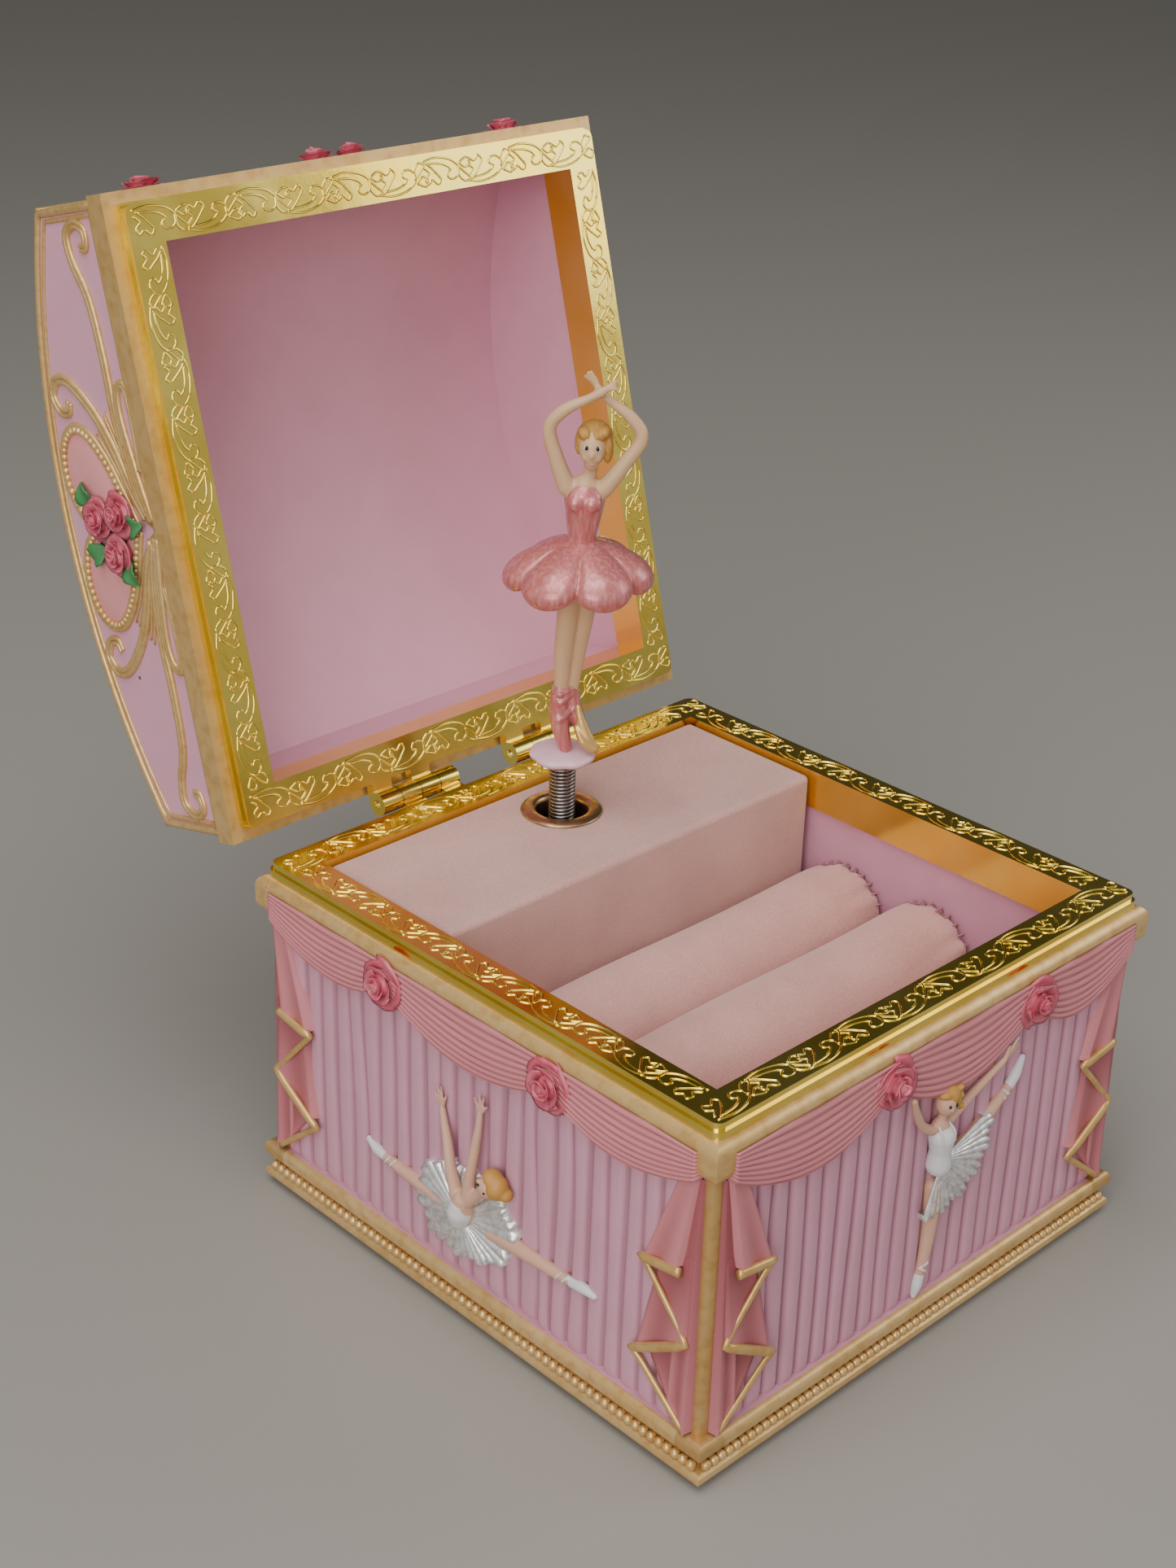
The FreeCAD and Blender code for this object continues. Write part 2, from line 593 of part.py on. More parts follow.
def relief_dancers():
    leaping = [
        (1.5, 1.0, [(-9.9, 21.0, 1.2), (-23.8, 22.6, 1.4), (-30.7, 24.4, 1.2)]),
        (1.5, 1.0, [(12.0, 22.6, 1.2), (21.0, 23.6, 1.4), (27.1, 24.9, 1.2)]),
        (1.1, 0.8, [(-0.5, 28.4, 1.8), (3.4, 38.0, 2.2), (6.6, 46.0, 2.0)]),
        (1.1, 0.8, [(-2.2, 30.6, 1.6), (-3.0, 41.3, 1.9), (-4.3, 50.6, 1.6)]),
        (1.8, 1.6, [(-0.5, 27.0, 1.6), (-2.4, 31.0, 1.5)]),
    ]
    pointe = [
        (1.5, 1.0, [(1.4, 34.2, 1.2), (0.0, 22.0, 1.3), (-1.5, 11.4, 1.0)]),
        (1.5, 1.0, [(6.0, 35.6, 1.6), (15.8, 38.5, 1.8), (22.6, 46.2, 1.4)]),
        (1.1, 0.8, [(-2.6, 45.6, 1.6), (-8.1, 51.2, 1.6), (-10.6, 55.4, 1.4)]),
        (1.1, 0.8, [(1.8, 45.8, 1.6), (9.5, 48.6, 1.8), (18.0, 52.4, 1.4)]),
        (1.9, 1.6, [(1.0, 38.5, 1.6), (-0.8, 46.0, 1.5)]),
    ]
    relief_dancer("relief_dancer_left", (-1, 0), [(a, b, [(-p[0], p[1], p[2]) for p in run])
                                                  for a, b, run in leaping],
                  (0, 23.6, 10.2, 2.6), (7.2, 33.4, 2.9))
    relief_dancer("relief_dancer_right", (1, 0), [(a, b, [(-p[0], p[1], p[2]) for p in run])
                                                  for a, b, run in leaping],
                  (0, 23.6, 10.2, 2.6), (7.2, 33.4, 2.9))
    relief_dancer("relief_dancer_front", (0, -1), pointe, (5.4, 34.4, 7.4, 2.6), (0.6, 51.6, 2.9))
    relief_dancer("relief_dancer_back", (0, 1), pointe, (5.4, 34.4, 7.4, 2.6), (0.6, 51.6, 2.9))


# Movement: everything that the cover hides, on a cast bedplate screwed down from under the floor.

SPINDLE = Vector(0, size("spindle_back"), 0)
DRUM_LINE = Vector(0, size("spindle_back"), size("drum_height"))
BED_TOP = size("floor_top + bed_thickness")


def bedplate():
    plate = block("bed_plate", "-bed_left", "bed_front", "floor_top", "bed_left + bed_right",
                  "bed_back - bed_front", "bed_thickness")
    riser = block("comb_riser", "drum_left", "bed_front", "floor_top", "drum_right - drum_left", 4.4,
                  "drum_height - 0.5 - floor_top")
    bosses = [rod("screw_boss", x, y, "floor_top", 2.4, "bed_thickness + 2.6") for x, y in SCREWS]
    bores = [rod("screw_bore", x, y, "floor_top - 1", 1.25, 5.4) for x, y in SCREWS]
    bores.append(rod("arbor_bearing", 0, "spindle_back", "floor_top - 1",
                     "shaft_radius + running_clearance", "bed_thickness + 2"))
    keep(cut("bed_cut", joined("bed_solid", [plate, riser] + bosses), joined("bed_bores", bores)),
         "bedplate")


def bearing_posts():
    """Two uprights that carry the drum's arbor; the outer one also carries the idler."""
    middle = "spindle_back - 2"
    posts = []
    for x, width in ((10.4, 1.2), (34.2, 1.2)):
        posts.append(block("post", x, middle, "floor_top + bed_thickness", width, 4,
                           "drum_height + 2.4 - floor_top - bed_thickness"))
    bores = [rod("drum_bearing", 9, "spindle_back", "drum_height", "drum_arbor + running_clearance",
                 28, "X")]
    bores.append(rod("idler_bearing", 33, "spindle_back", f"drum_height - {IDLER_DROP}",
                     "drum_arbor + running_clearance", 4, "X"))
    keep(cut("post_cut", joined("post_solid", posts), joined("post_bores", bores)), "bearing_posts")


IDLER_DROP = "fine_module * (drum_wheel_teeth + idler_pinion_teeth) / 2"


def movement_screws():
    screws = []
    for x, y in SCREWS:
        shank = rod("screw_shank", x, y, "floor_under", 1.25, 7.6)
        head = taper("screw_head", x, y, "floor_under - 1.6", 2.1, 2.5, 1.6)
        slot = block("screw_slot", f"{x} - 3", f"{y} - 0.3", "floor_under - 1.7", 6, 0.6, 0.9)
        screws.append(cut("screw", joined("screw_blank", [shank, head]), slot))
    keep(joined("screw_set", screws), "movement_screws")


def spring_housing():
    shell = rod("housing_shell", 0, "spindle_back", "floor_top + bed_thickness", "barrel_radius",
                "barrel_top - floor_top - bed_thickness")
    hollow = rod("housing_hollow", 0, "spindle_back", "floor_top + bed_thickness - 1",
                 "barrel_radius - barrel_wall", "barrel_top - floor_top - bed_thickness - barrel_wall + 1")
    bore = rod("housing_bore", 0, "spindle_back", "floor_top", "shaft_radius + running_clearance", 20)
    keep(cut("housing_cut", shell, joined("housing_bores", [hollow, bore])), "spring_housing")


def mainspring():
    """A flat strip wound outward as half circles about two centres, one strip gap apart."""
    strip = 0.3
    step = 0.36
    height = size("barrel_top - floor_top - bed_thickness - barrel_wall") - 0.6
    radius = 2.3
    inner = []
    outer = []
    side = 1
    centre = 0.0
    while radius + strip < size("barrel_radius - barrel_wall") - 0.35:
        top = Vector(centre, side * radius, 0)
        for arcs, reach in ((inner, radius), (outer, radius + strip)):
            arcs.append(Part.Arc(Vector(centre - side * reach, 0, 0), Vector(centre, side * reach, 0),
                                 Vector(centre + side * reach, 0, 0)).toShape())
        centre -= side * step / 2
        radius += step / 2
        side = -side
    start = Part.makeLine(inner[0].Vertexes[0].Point, outer[0].Vertexes[0].Point)
    end = Part.makeLine(inner[-1].Vertexes[-1].Point, outer[-1].Vertexes[-1].Point)
    wire = Part.Wire(Part.__sortEdges__(inner + [end] + outer[::-1] + [start]))
    wound = Part.Face(wire).extrude(Vector(0, 0, height))
    wound.translate(SPINDLE + Vector(0, 0, BED_TOP + 0.3))
    keep(solid("mainspring_strip", wound), "mainspring")


def tooth_ring(teeth, module, width, share, bore):
    """A spur gear about +Z: straight-flanked teeth that fill a share of the pitch, and a bore."""
    pitch_radius = module * teeth / 2
    tip = pitch_radius + 0.8 * module
    root = pitch_radius - 1.15 * module
    half = math.pi / teeth * share
    points = []
    for tooth in range(teeth):
        middle = 2 * math.pi * tooth / teeth
        for radius, lean in ((root, -1.3 * half), (tip, -0.5 * half), (tip, 0.5 * half),
                             (root, 1.3 * half)):
            angle = middle + lean
            points.append(Vector(radius * math.cos(angle), radius * math.sin(angle), 0))
    outline = Part.makePolygon(points + points[:1])
    blank = Part.Face(outline).extrude(Vector(0, 0, width))
    return blank.cut(Part.makeCylinder(bore, width, Vector()))


def along_x(shape, line, x):
    """Turn a shape made about +Z so that it runs along +X from x on a line."""
    turned = shape.copy()
    on_line = Placement(Vector(x, line.y, line.z), Rotation(Vector(0, 1, 0), 90))
    turned.Placement = on_line.multiply(shape.Placement)
    return turned


TOOTH_SHARE = 0.42


def great_wheel():
    """The disc on the winding arbor, with face teeth near its edge and a hub."""
    base = size("wheel_base")
    web = Part.makeCylinder(size("wheel_radius"), size("wheel_web"), SPINDLE + Vector(0, 0, base))
    teeth = int(size("crown_teeth"))
    pitch = 2 * math.pi * size("crown_mean") / teeth
    low = base + size("wheel_web")
    pieces = []
    face = size("crown_face")
    for tooth in range(teeth):
        wide = 0.24 * pitch
        narrow = 0.14 * pitch
        profile = Part.makePolygon([Vector(0, -wide, -0.1), Vector(0, wide, -0.1),
                                    Vector(0, narrow, size("tooth_height")),
                                    Vector(0, -narrow, size("tooth_height")), Vector(0, -wide, -0.1)])
        block_tooth = Part.Face(profile).extrude(Vector(face, 0, 0))
        block_tooth.translate(Vector(size("crown_mean") - face / 2, 0, low))
        block_tooth.rotate(Vector(), Vector(0, 0, 1), 360.0 * tooth / teeth)
        block_tooth.translate(SPINDLE)
        pieces.append(block_tooth)
    wheel = web.fuse(pieces).cut(Part.makeCylinder(size("shaft_radius"), 10, SPINDLE + Vector(0, 0, base - 1)))
    keep(solid("great_wheel_solid", wheel), "great_wheel")


def drive_train():
    foot = "key_foot + key_height - 4"
    arbor = rod("arbor_rod", 0, "spindle_back", foot, "shaft_radius", f"spindle_base + 5.4 - ({foot})")
    arbor.Label = "winding_arbor"
    PARTS.append(arbor)
    socket = rod("socket_rod", 0, "spindle_back", "spindle_base", "spindle_socket", 8)
    shaft = rod("spindle_rod", 0, "spindle_back", "spindle_base + 5.4", "shaft_radius",
                "ferrule_base - spindle_base - 5")
    ferrule = rod("ferrule_rod", 0, "spindle_back", "ferrule_base", "ferrule_radius",
                  "ferrule_top - ferrule_base")
    collar = rod("ferrule_collar", 0, "spindle_back", "ferrule_base - 1", "spring_radius", 1)
    bore = rod("socket_bore", 0, "spindle_back", "spindle_base - 1", "shaft_radius", 6.4)
    keep(cut("spindle_cut", joined("spindle_solid", [socket, shaft, ferrule, collar]), bore),
         "dancer_spindle")
    boss = rod("key_boss_rod", 0, "spindle_back", "key_foot + key_height - 6", "key_boss", 6)
    wings = block("key_wings", "-key_span / 2", "spindle_back - key_plate / 2", "key_foot", "key_span",
                  "key_plate", "key_height - 2")
    rounds = [rod("key_eye", f"{side} * (key_span / 2 - 3)", "spindle_back - 2", "key_foot + 2.4", 1.3,
                  4, "Y") for side in (-1, 1)]
    socket_bore = rod("key_bore", 0, "spindle_back", foot, "shaft_radius", 6)
    keep(cut("key_cut", joined("key_solid", [boss, wings]), joined("key_holes", rounds + [socket_bore])),
         "winding_key")


def music_drum():
    """The pinned drum, its arbor, the pinion that the face teeth drive and the wheel for the idler."""
    left, right = size("drum_left"), size("drum_right")
    radius = size("drum_radius")
    drum = Part.makeCylinder(radius, right - left)
    drum = drum.cut(Part.makeCylinder(size("drum_arbor"), right - left))
    teeth = int(size("comb_teeth"))
    pins = []
    golden_turn = 137.5
    for tooth in range(teeth):
        for beat in range(4):
            angle = math.radians((4 * tooth + beat) * golden_turn)
            out = Vector(math.cos(angle), math.sin(angle), 0)
            start = out * (radius - 0.4)
            start.z = (right - left) / 2 + (tooth - (teeth - 1) / 2) * size("comb_pitch")
            pins.append(Part.makeCylinder(0.15, 0.4 + size("pin_stand"), start, out))
    keep(solid("drum_solid", along_x(drum.fuse(pins), DRUM_LINE, left)), "music_drum")
    arbor = Part.makeCylinder(size("drum_arbor"), 36.0 - 7.6)
    keep(solid("drum_arbor_solid", along_x(arbor, DRUM_LINE, 7.6)), "drum_arbor")
    pinion = tooth_ring(int(size("pinion_teeth")), size("gear_module"), 1.8, TOOTH_SHARE,
                        size("drum_arbor"))
    pinion.rotate(Vector(), Vector(0, 0, 1), 180.0 / size("pinion_teeth"))
    keep(solid("drum_pinion_solid", along_x(pinion, DRUM_LINE, size("crown_mean") - 0.9)), "drum_pinion")
    wheel = tooth_ring(int(size("drum_wheel_teeth")), size("fine_module"), 1.2, TOOTH_SHARE,
                       size("drum_arbor"))
    keep(solid("drum_wheel_solid", along_x(wheel, DRUM_LINE, WHEEL_LEFT)), "drum_wheel")


WHEEL_LEFT = 31.2


def comb():
    """The steel comb: a clamped back and eighteen teeth, each longer than the next."""
    teeth = int(size("comb_teeth"))
    pitch = size("comb_pitch")
    span = teeth * pitch
    left = (size("drum_left") + size("drum_right") - span) / 2
    low = size("drum_height") - 0.5
    tip = size("spindle_back") - size("drum_radius") - size("pin_stand") - size("comb_gap")
    front = size("bed_front")
    plate = Part.makeBox(span, tip - front, 0.9, Vector(left, front, low))
    slots = []
    for gap in range(teeth + 1):
        root = front + 4.8 + 2.6 * gap / teeth
        slots.append(Part.makeBox(0.25, tip - root + 1, 2, Vector(left + gap * pitch - 0.125, root, low - 1)))
    for x in (left + 0.22 * span, left + 0.78 * span):
        slots.append(Part.makeCylinder(0.9, 3, Vector(x, front + 2.2, low - 1)))
    keep(solid("comb_solid", plate.cut(slots)), "comb")
    screws = []
    for x in (left + 0.22 * span, left + 0.78 * span):
        head = Part.makeCylinder(1.6, 1, Vector(x, front + 2.2, low + 0.9))
        head = head.cut(Part.makeBox(4, 0.4, 0.6, Vector(x - 2, front + 2.0, low + 1.4)))
        screws.append(head.fuse(Part.makeCylinder(0.9, 0.9, Vector(x, front + 2.2, low))))
    keep(solid("comb_screw_set", Part.makeCompound(screws)), "comb_screws")


def governor():
    """Idler, worm and fan: the train that holds the drum to a steady slow turn."""
    idler_line = DRUM_LINE - Vector(0, 0, size(IDLER_DROP))
    module = size("fine_module")
    pinion_teeth = int(size("idler_pinion_teeth"))
    wheel_teeth = int(size("idler_wheel_teeth"))
    pinion = tooth_ring(pinion_teeth, module, 1.6, TOOTH_SHARE, 0.2)
    pinion.rotate(Vector(), Vector(0, 0, 1), 180.0 / pinion_teeth)
    wheel = tooth_ring(wheel_teeth, module, 0.9, TOOTH_SHARE, 0.2)
    wheel.translate(Vector(0, 0, WORM_X - WHEEL_LEFT + 0.2 - 0.45))
    arbor = Part.makeCylinder(size("drum_arbor"), WORM_X + 0.25 - WHEEL_LEFT + 0.2)
    keep(solid("idler_solid", along_x(pinion.fuse([wheel, arbor]), idler_line, WHEEL_LEFT - 0.2)),
         "governor_idler")

    worm_radius = size("worm_radius")
    worm_y = size("spindle_back") + module * wheel_teeth / 2 + worm_radius
    thread_pitch = math.pi * module
    low = idler_line.z - 2.2 * thread_pitch
    height = 4.4 * thread_pitch
    root = worm_radius - 1.1 * module
    helix = Part.makeHelix(thread_pitch, height, root)
    tip = worm_radius + 0.75 * module
    profile = Part.makePolygon([Vector(root - 0.15, 0, -0.34), Vector(tip, 0, -0.12),
                                Vector(tip, 0, 0.12), Vector(root - 0.15, 0, 0.34),
                                Vector(root - 0.15, 0, -0.34)])
    thread = Part.Wire(helix).makePipeShell([profile], True, True)
    shaft = Part.makeCylinder(root, height + 9.4, Vector(0, 0, -2.2))
    pivot = Part.makeCylinder(0.35, height + 12.2, Vector(0, 0, -3.6))
    worm = shaft.fuse([thread, pivot])
    worm.rotate(Vector(), Vector(0, 0, 1), WORM_PHASE)
    worm.translate(Vector(WORM_X, worm_y, low))
    keep(solid("worm_solid", worm), "governor_worm")

    fan_low = low + height + 1.6
    hub = Part.makeCylinder(1.3, 3.6, Vector(WORM_X, worm_y, fan_low))
    hub = hub.cut(Part.makeCylinder(root, 3.6, Vector(WORM_X, worm_y, fan_low)))
    blades = []
    for turn in (0, 180):
        blade = Part.makeBox(size("fan_radius") - 1, 0.4, 3.6, Vector(1, -0.2, 0))
        blade.rotate(Vector(), Vector(0, 0, 1), turn)
        blade.translate(Vector(WORM_X, worm_y, fan_low))
        blades.append(blade)
    keep(solid("fan_solid", hub.fuse(blades)), "governor_fan")

    bracket_back = size("bed_back") - 1.2
    upright_plate = Part.makeBox(4, 1.2, low + height + 8.4 - BED_TOP,
                                 Vector(WORM_X - 2, bracket_back, BED_TOP))
    arms = []
    for z in (low - 3.4, low + height + 7.4):
        arm = Part.makeBox(4, bracket_back - worm_y + 2, 1, Vector(WORM_X - 2, worm_y - 1.6, z))
        arms.append(arm.cut(Part.makeCylinder(0.4, 1, Vector(WORM_X, worm_y, z))))
    keep(solid("bracket_solid", upright_plate.fuse(arms)), "governor_bracket")


WORM_X = 37.2
WORM_PHASE = 18


# Dancer: a spring between the spindle and the disc, and the painted figure that stands on it.

def coil_spring():
    """A close-wound coil, as a tube with one rounded rib for each turn of the wire."""
    low = size("ferrule_base")
    high = size("spring_top")
    pitch = size("wire_pitch")
    outer = size("spring_radius")
    bore = size("spring_bore")
    points = [Vector(bore, 0, low)]
    edges = []
    turns = int((high - low) / pitch)
    groove = outer - 0.16
    last = Vector(groove, 0, low)
    edges.append(Part.makeLine(points[0], last))
    for turn in range(turns):
        z = low + turn * pitch
        nxt = Vector(groove, 0, z + pitch)
        edges.append(Part.Arc(last, Vector(outer, 0, z + pitch / 2), nxt).toShape())
        last = nxt
    top_inner = Vector(bore, 0, last.z)
    edges.append(Part.makeLine(last, top_inner))
    edges.append(Part.makeLine(top_inner, points[0]))
    tube = Part.Face(Part.Wire(edges)).revolve(Vector(), Vector(0, 0, 1), 360)
    tube.translate(SPINDLE)
    keep(solid("coil_solid", tube), "coil_spring")


def dancer_stand():
    disc = taper("disc_cone", 0, "spindle_back", "disc_under", "disc_radius", "disc_radius - 1.4",
                 "disc_thickness")
    socket = rod("disc_socket", 0, "spindle_back", "disc_under - 0.1", "spring_radius + 0.03", 1.4)
    stub = rod("disc_stub", 0, "spindle_back", "disc_under - stub_length", "ferrule_radius",
               "stub_length + disc_thickness - 0.2")
    keep(joined("stand_solid", [cut("disc_bored", disc, socket), stub]), "dancer_stand")


def dancer_figure():
    """Legs, bodice, skirt, arms and head as one casting, standing on the disc."""
    ground = size("disc_under + disc_thickness")
    top = size("dancer_height")

    def up(share):
        return ground + share * (top - ground)

    def spot(x, y, share):
        return SPINDLE + Vector(x, y, up(share))

    pieces = [
        limb(spot(0.6, 0.2, 0.02), spot(0.2, 0, 0.17), 0.9, 1.05),
        limb(spot(0.2, 0, 0.17), spot(0.4, 0, 0.46), 1.2, 2.2),
        limb(spot(-0.9, 1.0, 0.06), spot(-1.0, 0.9, 0.2), 0.9, 1.1),
        limb(spot(-1.0, 0.9, 0.2), spot(-0.4, 0.4, 0.46), 1.3, 2.2),
        limb(spot(0, 0, 0.56), spot(0, 0, 0.68), 2.7, 3.5),
        limb(spot(0, 0, 0.66), spot(0, 0, 0.77), 1.6, 1.3),
        Part.makeSphere(4.1, spot(0, 0, 0.83)),
        limb(spot(-4.2, 0, 0.7), spot(-8.0, -0.6, 0.86), 1.25, 1.05),
        limb(spot(-8.0, -0.6, 0.86), spot(-1.4, -0.8, 0.97), 1.05, 0.8),
        limb(spot(4.2, 0, 0.7), spot(8.0, -0.6, 0.86), 1.25, 1.05),
        limb(spot(8.0, -0.6, 0.86), spot(1.4, -0.8, 0.97), 1.05, 0.8),
        limb(spot(-4.2, 0, 0.7), spot(4.2, 0, 0.7), 1.3, 1.25),
    ]
    skirt = Part.makeCone(12.8, 3.0, 6.2, spot(0, 0, 0.49))
    under = Part.makeCone(9.6, 12.8, 4.6, spot(0, 0, 0.49) - Vector(0, 0, 4.6))
    figure = skirt.fuse([under] + pieces)
    keep(solid("figure_solid", figure), "dancer_figure")


feet()
base_casting()
hinges()
lid_casting()
rear_cover()
eyelet()
ring_tray()
for order, roll_label in enumerate(("ring_roll_back", "ring_roll_middle", "ring_roll_front")):
    ring_roll(roll_label, order)
base_roses()
lid_roses()
relief_dancers()
bedplate()
bearing_posts()
movement_screws()
spring_housing()
mainspring()
great_wheel()
drive_train()
music_drum()
comb()
governor()
coil_spring()
dancer_stand()
dancer_figure()

doc.recompute()
failed = [item.Name for item in doc.Objects if {"Invalid", "Error"} & set(item.State)]
failed += [item.Label for item in PARTS if item.Shape.isNull() or not item.Shape.isValid()]
if failed:
    raise RuntimeError(f"these did not build: {failed}")

os.makedirs("parts", exist_ok=True)
for item in PARTS:
    item.Shape.exportStep(f"parts/{item.Label}.step")
    print(f"{item.Label:22s} solids {len(item.Shape.Solids):2d}  volume {item.Shape.Volume:10.2f} mm3")

print(f"lid hinge line: y {hinge_line.y:.3f}, z {hinge_line.z:.3f} mm")
print(f"dancer fold line: y {size('spindle_back'):.3f}, z {size('bend_height'):.3f} mm")
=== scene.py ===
import json
import math
import random
from collections import namedtuple

import bmesh
import bpy
import numpy as np
from mathutils import Matrix, Vector


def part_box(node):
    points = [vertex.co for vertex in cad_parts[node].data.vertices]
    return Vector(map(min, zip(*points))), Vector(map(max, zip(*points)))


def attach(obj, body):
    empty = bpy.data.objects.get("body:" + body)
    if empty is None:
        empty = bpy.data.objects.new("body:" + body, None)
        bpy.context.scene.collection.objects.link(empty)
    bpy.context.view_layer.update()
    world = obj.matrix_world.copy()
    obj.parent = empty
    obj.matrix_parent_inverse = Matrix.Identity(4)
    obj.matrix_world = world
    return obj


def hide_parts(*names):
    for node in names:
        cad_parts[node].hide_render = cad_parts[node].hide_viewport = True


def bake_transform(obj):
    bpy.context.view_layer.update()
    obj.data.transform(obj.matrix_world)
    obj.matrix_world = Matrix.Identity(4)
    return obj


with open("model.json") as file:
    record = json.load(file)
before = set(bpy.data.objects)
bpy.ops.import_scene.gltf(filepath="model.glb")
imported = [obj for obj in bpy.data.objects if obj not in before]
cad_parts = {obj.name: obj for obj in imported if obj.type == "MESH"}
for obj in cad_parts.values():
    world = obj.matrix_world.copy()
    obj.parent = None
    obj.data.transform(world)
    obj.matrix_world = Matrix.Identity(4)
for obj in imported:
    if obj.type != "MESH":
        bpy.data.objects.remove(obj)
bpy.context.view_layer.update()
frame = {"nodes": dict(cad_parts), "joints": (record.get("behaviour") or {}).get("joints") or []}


# Camera, floor and light.
# A viewer sits at the box's near left corner and looks down on it, on a pale table under two large
# soft lamps, with the room darker behind the box than in front of it.

MM = 0.001
VIEW_FROM = Vector((-278.5, -252.2, 276.4)) * MM
VIEW_AZIMUTH = math.radians(-44.621)
VIEW_ELEVATION = math.radians(26.542)
VIEW_ROLL = math.radians(1.642)
VIEW_LENS = 54.17
DARK_SIDE = (0.55, 0.6, 0.45)
ROOM_PALE = (0.70, 0.69, 0.665, 1)
ROOM_DARK = (0.10, 0.098, 0.093, 1)
ROOM_STRENGTH = 0.62
FLOOR_REACH = 3
CORNERS = ((-1, -1), (1, -1), (1, 1), (-1, 1))
# Each lamp: name, place, the height it points at, width in metres, watts, colour.
LAMPS = (("lamp_above", (-0.3, -0.1, 0.95), 0.05, 0.8, 7.6, (1.0, 0.965, 0.92)),
         ("lamp_front", (-0.98, -0.52, 0.48), 0.08, 0.7, 8.2, (1.0, 0.955, 0.90)),
         ("lamp_right", (0.7, -0.45, 0.5), 0.06, 0.5, 2.0, (1.0, 0.97, 0.94)))


def placed(name, data):
    """A new object in the scene."""
    thing = bpy.data.objects.new(name, data)
    bpy.context.collection.objects.link(thing)
    return thing


camera = placed("camera", bpy.data.cameras.new("camera"))
back = Vector((math.sin(VIEW_AZIMUTH) * math.cos(VIEW_ELEVATION),
               -math.cos(VIEW_AZIMUTH) * math.cos(VIEW_ELEVATION), math.sin(VIEW_ELEVATION)))
level = Vector((0, 0, 1)).cross(back).normalized()
upward = back.cross(level)
across = math.cos(VIEW_ROLL) * level + math.sin(VIEW_ROLL) * upward
along = math.cos(VIEW_ROLL) * upward - math.sin(VIEW_ROLL) * level
camera.matrix_world = Matrix.Translation(VIEW_FROM) @ Matrix((across, along, back)).transposed().to_4x4()
camera.data.lens = VIEW_LENS
camera.data.sensor_width = 36
camera.data.clip_start = 0.01
bpy.context.scene.camera = camera

for name, place, aim, width, power, tint in LAMPS:
    light = bpy.data.lights.new(name, "AREA")
    light.size = width
    light.energy = power
    light.color = tint
    holder = placed(name, light)
    holder.location = place
    holder.rotation_euler = (Vector(place) - Vector((0, 0, aim))).to_track_quat("Z", "Y").to_euler()


def fill(tree, node, **inputs):
    """Fill a node's inputs, by name or as i0, i1 by number, with values or links."""
    for name, value in inputs.items():
        socket = node.inputs[int(name[1:])] if name[1:].isdigit() else node.inputs[name.replace("_", " ")]
        if isinstance(value, bpy.types.NodeSocket):
            tree.links.new(value, socket)
        else:
            socket.default_value = value
    return node


def add(tree, kind, settings=None, **inputs):
    """Add a node, set its properties and fill its inputs."""
    node = tree.nodes.new(kind)
    for name, value in (settings or {}).items():
        setattr(node, name, value)
    return fill(tree, node, **inputs)


def mixed(tree, share, first, second):
    """The colour between two colours."""
    return add(tree, "ShaderNodeMix", {"data_type": "RGBA"}, i0=share, i6=first, i7=second).outputs[2]


def ranged(tree, value, low, high, to_low=0.0, to_high=1.0):
    """A value carried smoothly from one range to another."""
    return add(tree, "ShaderNodeMapRange", {"interpolation_type": "SMOOTHSTEP"}, Value=value,
               From_Min=low, From_Max=high, To_Min=to_low, To_Max=to_high).outputs[0]


def combined(tree, operation, first, *more):
    """Values put one after another through one kind of arithmetic."""
    for value in more:
        first = add(tree, "ShaderNodeMath", {"operation": operation}, i0=first, i1=value).outputs[0]
    return first


def noise(tree, place, scale, detail=2.0, roughness=0.5):
    """A cloudy pattern through the object."""
    return add(tree, "ShaderNodeTexNoise", Vector=place, Scale=scale, Detail=detail,
               Roughness=roughness).outputs[0]


def new_finish(name, roughness=0.5, metallic=0.0, **sockets):
    """A material: (material, its nodes, its shader, the place on the object)."""
    material = bpy.data.materials.new(name)
    material.use_nodes = True
    tree = material.node_tree
    shader = fill(tree, tree.nodes["Principled BSDF"], Roughness=roughness, Metallic=metallic, **sockets)
    return material, tree, shader, add(tree, "ShaderNodeTexCoord").outputs["Object"]


world = bpy.data.worlds.new("room")
bpy.context.scene.world = world
world.use_nodes = True
sky = world.node_tree
toward = add(sky, "ShaderNodeVectorMath", {"operation": "DOT_PRODUCT"},
             i0=add(sky, "ShaderNodeTexCoord").outputs["Generated"], i1=DARK_SIDE).outputs["Value"]
fill(sky, sky.nodes["Background"], Strength=ROOM_STRENGTH,
     Color=mixed(sky, ranged(sky, toward, -0.1, 0.75), ROOM_PALE, ROOM_DARK))

floor_mesh = bpy.data.meshes.new("floor")
floor_mesh.from_pydata([(x * FLOOR_REACH, y * FLOOR_REACH, 0) for x, y in CORNERS], [], [(0, 1, 2, 3)])
floor_mesh.materials.append(new_finish("floor_paint", 0.55, Base_Color=(0.305, 0.292, 0.272, 1))[0])
floor = placed("floor", floor_mesh)


# Base casting: a hollow box of cast resin, painted by hand.
# Its rim, plinth and corner columns are brushed with gold over a brown ground, and the rest is matt
# lilac. The casting's own shape is used, and the paint is told apart by where it lies.

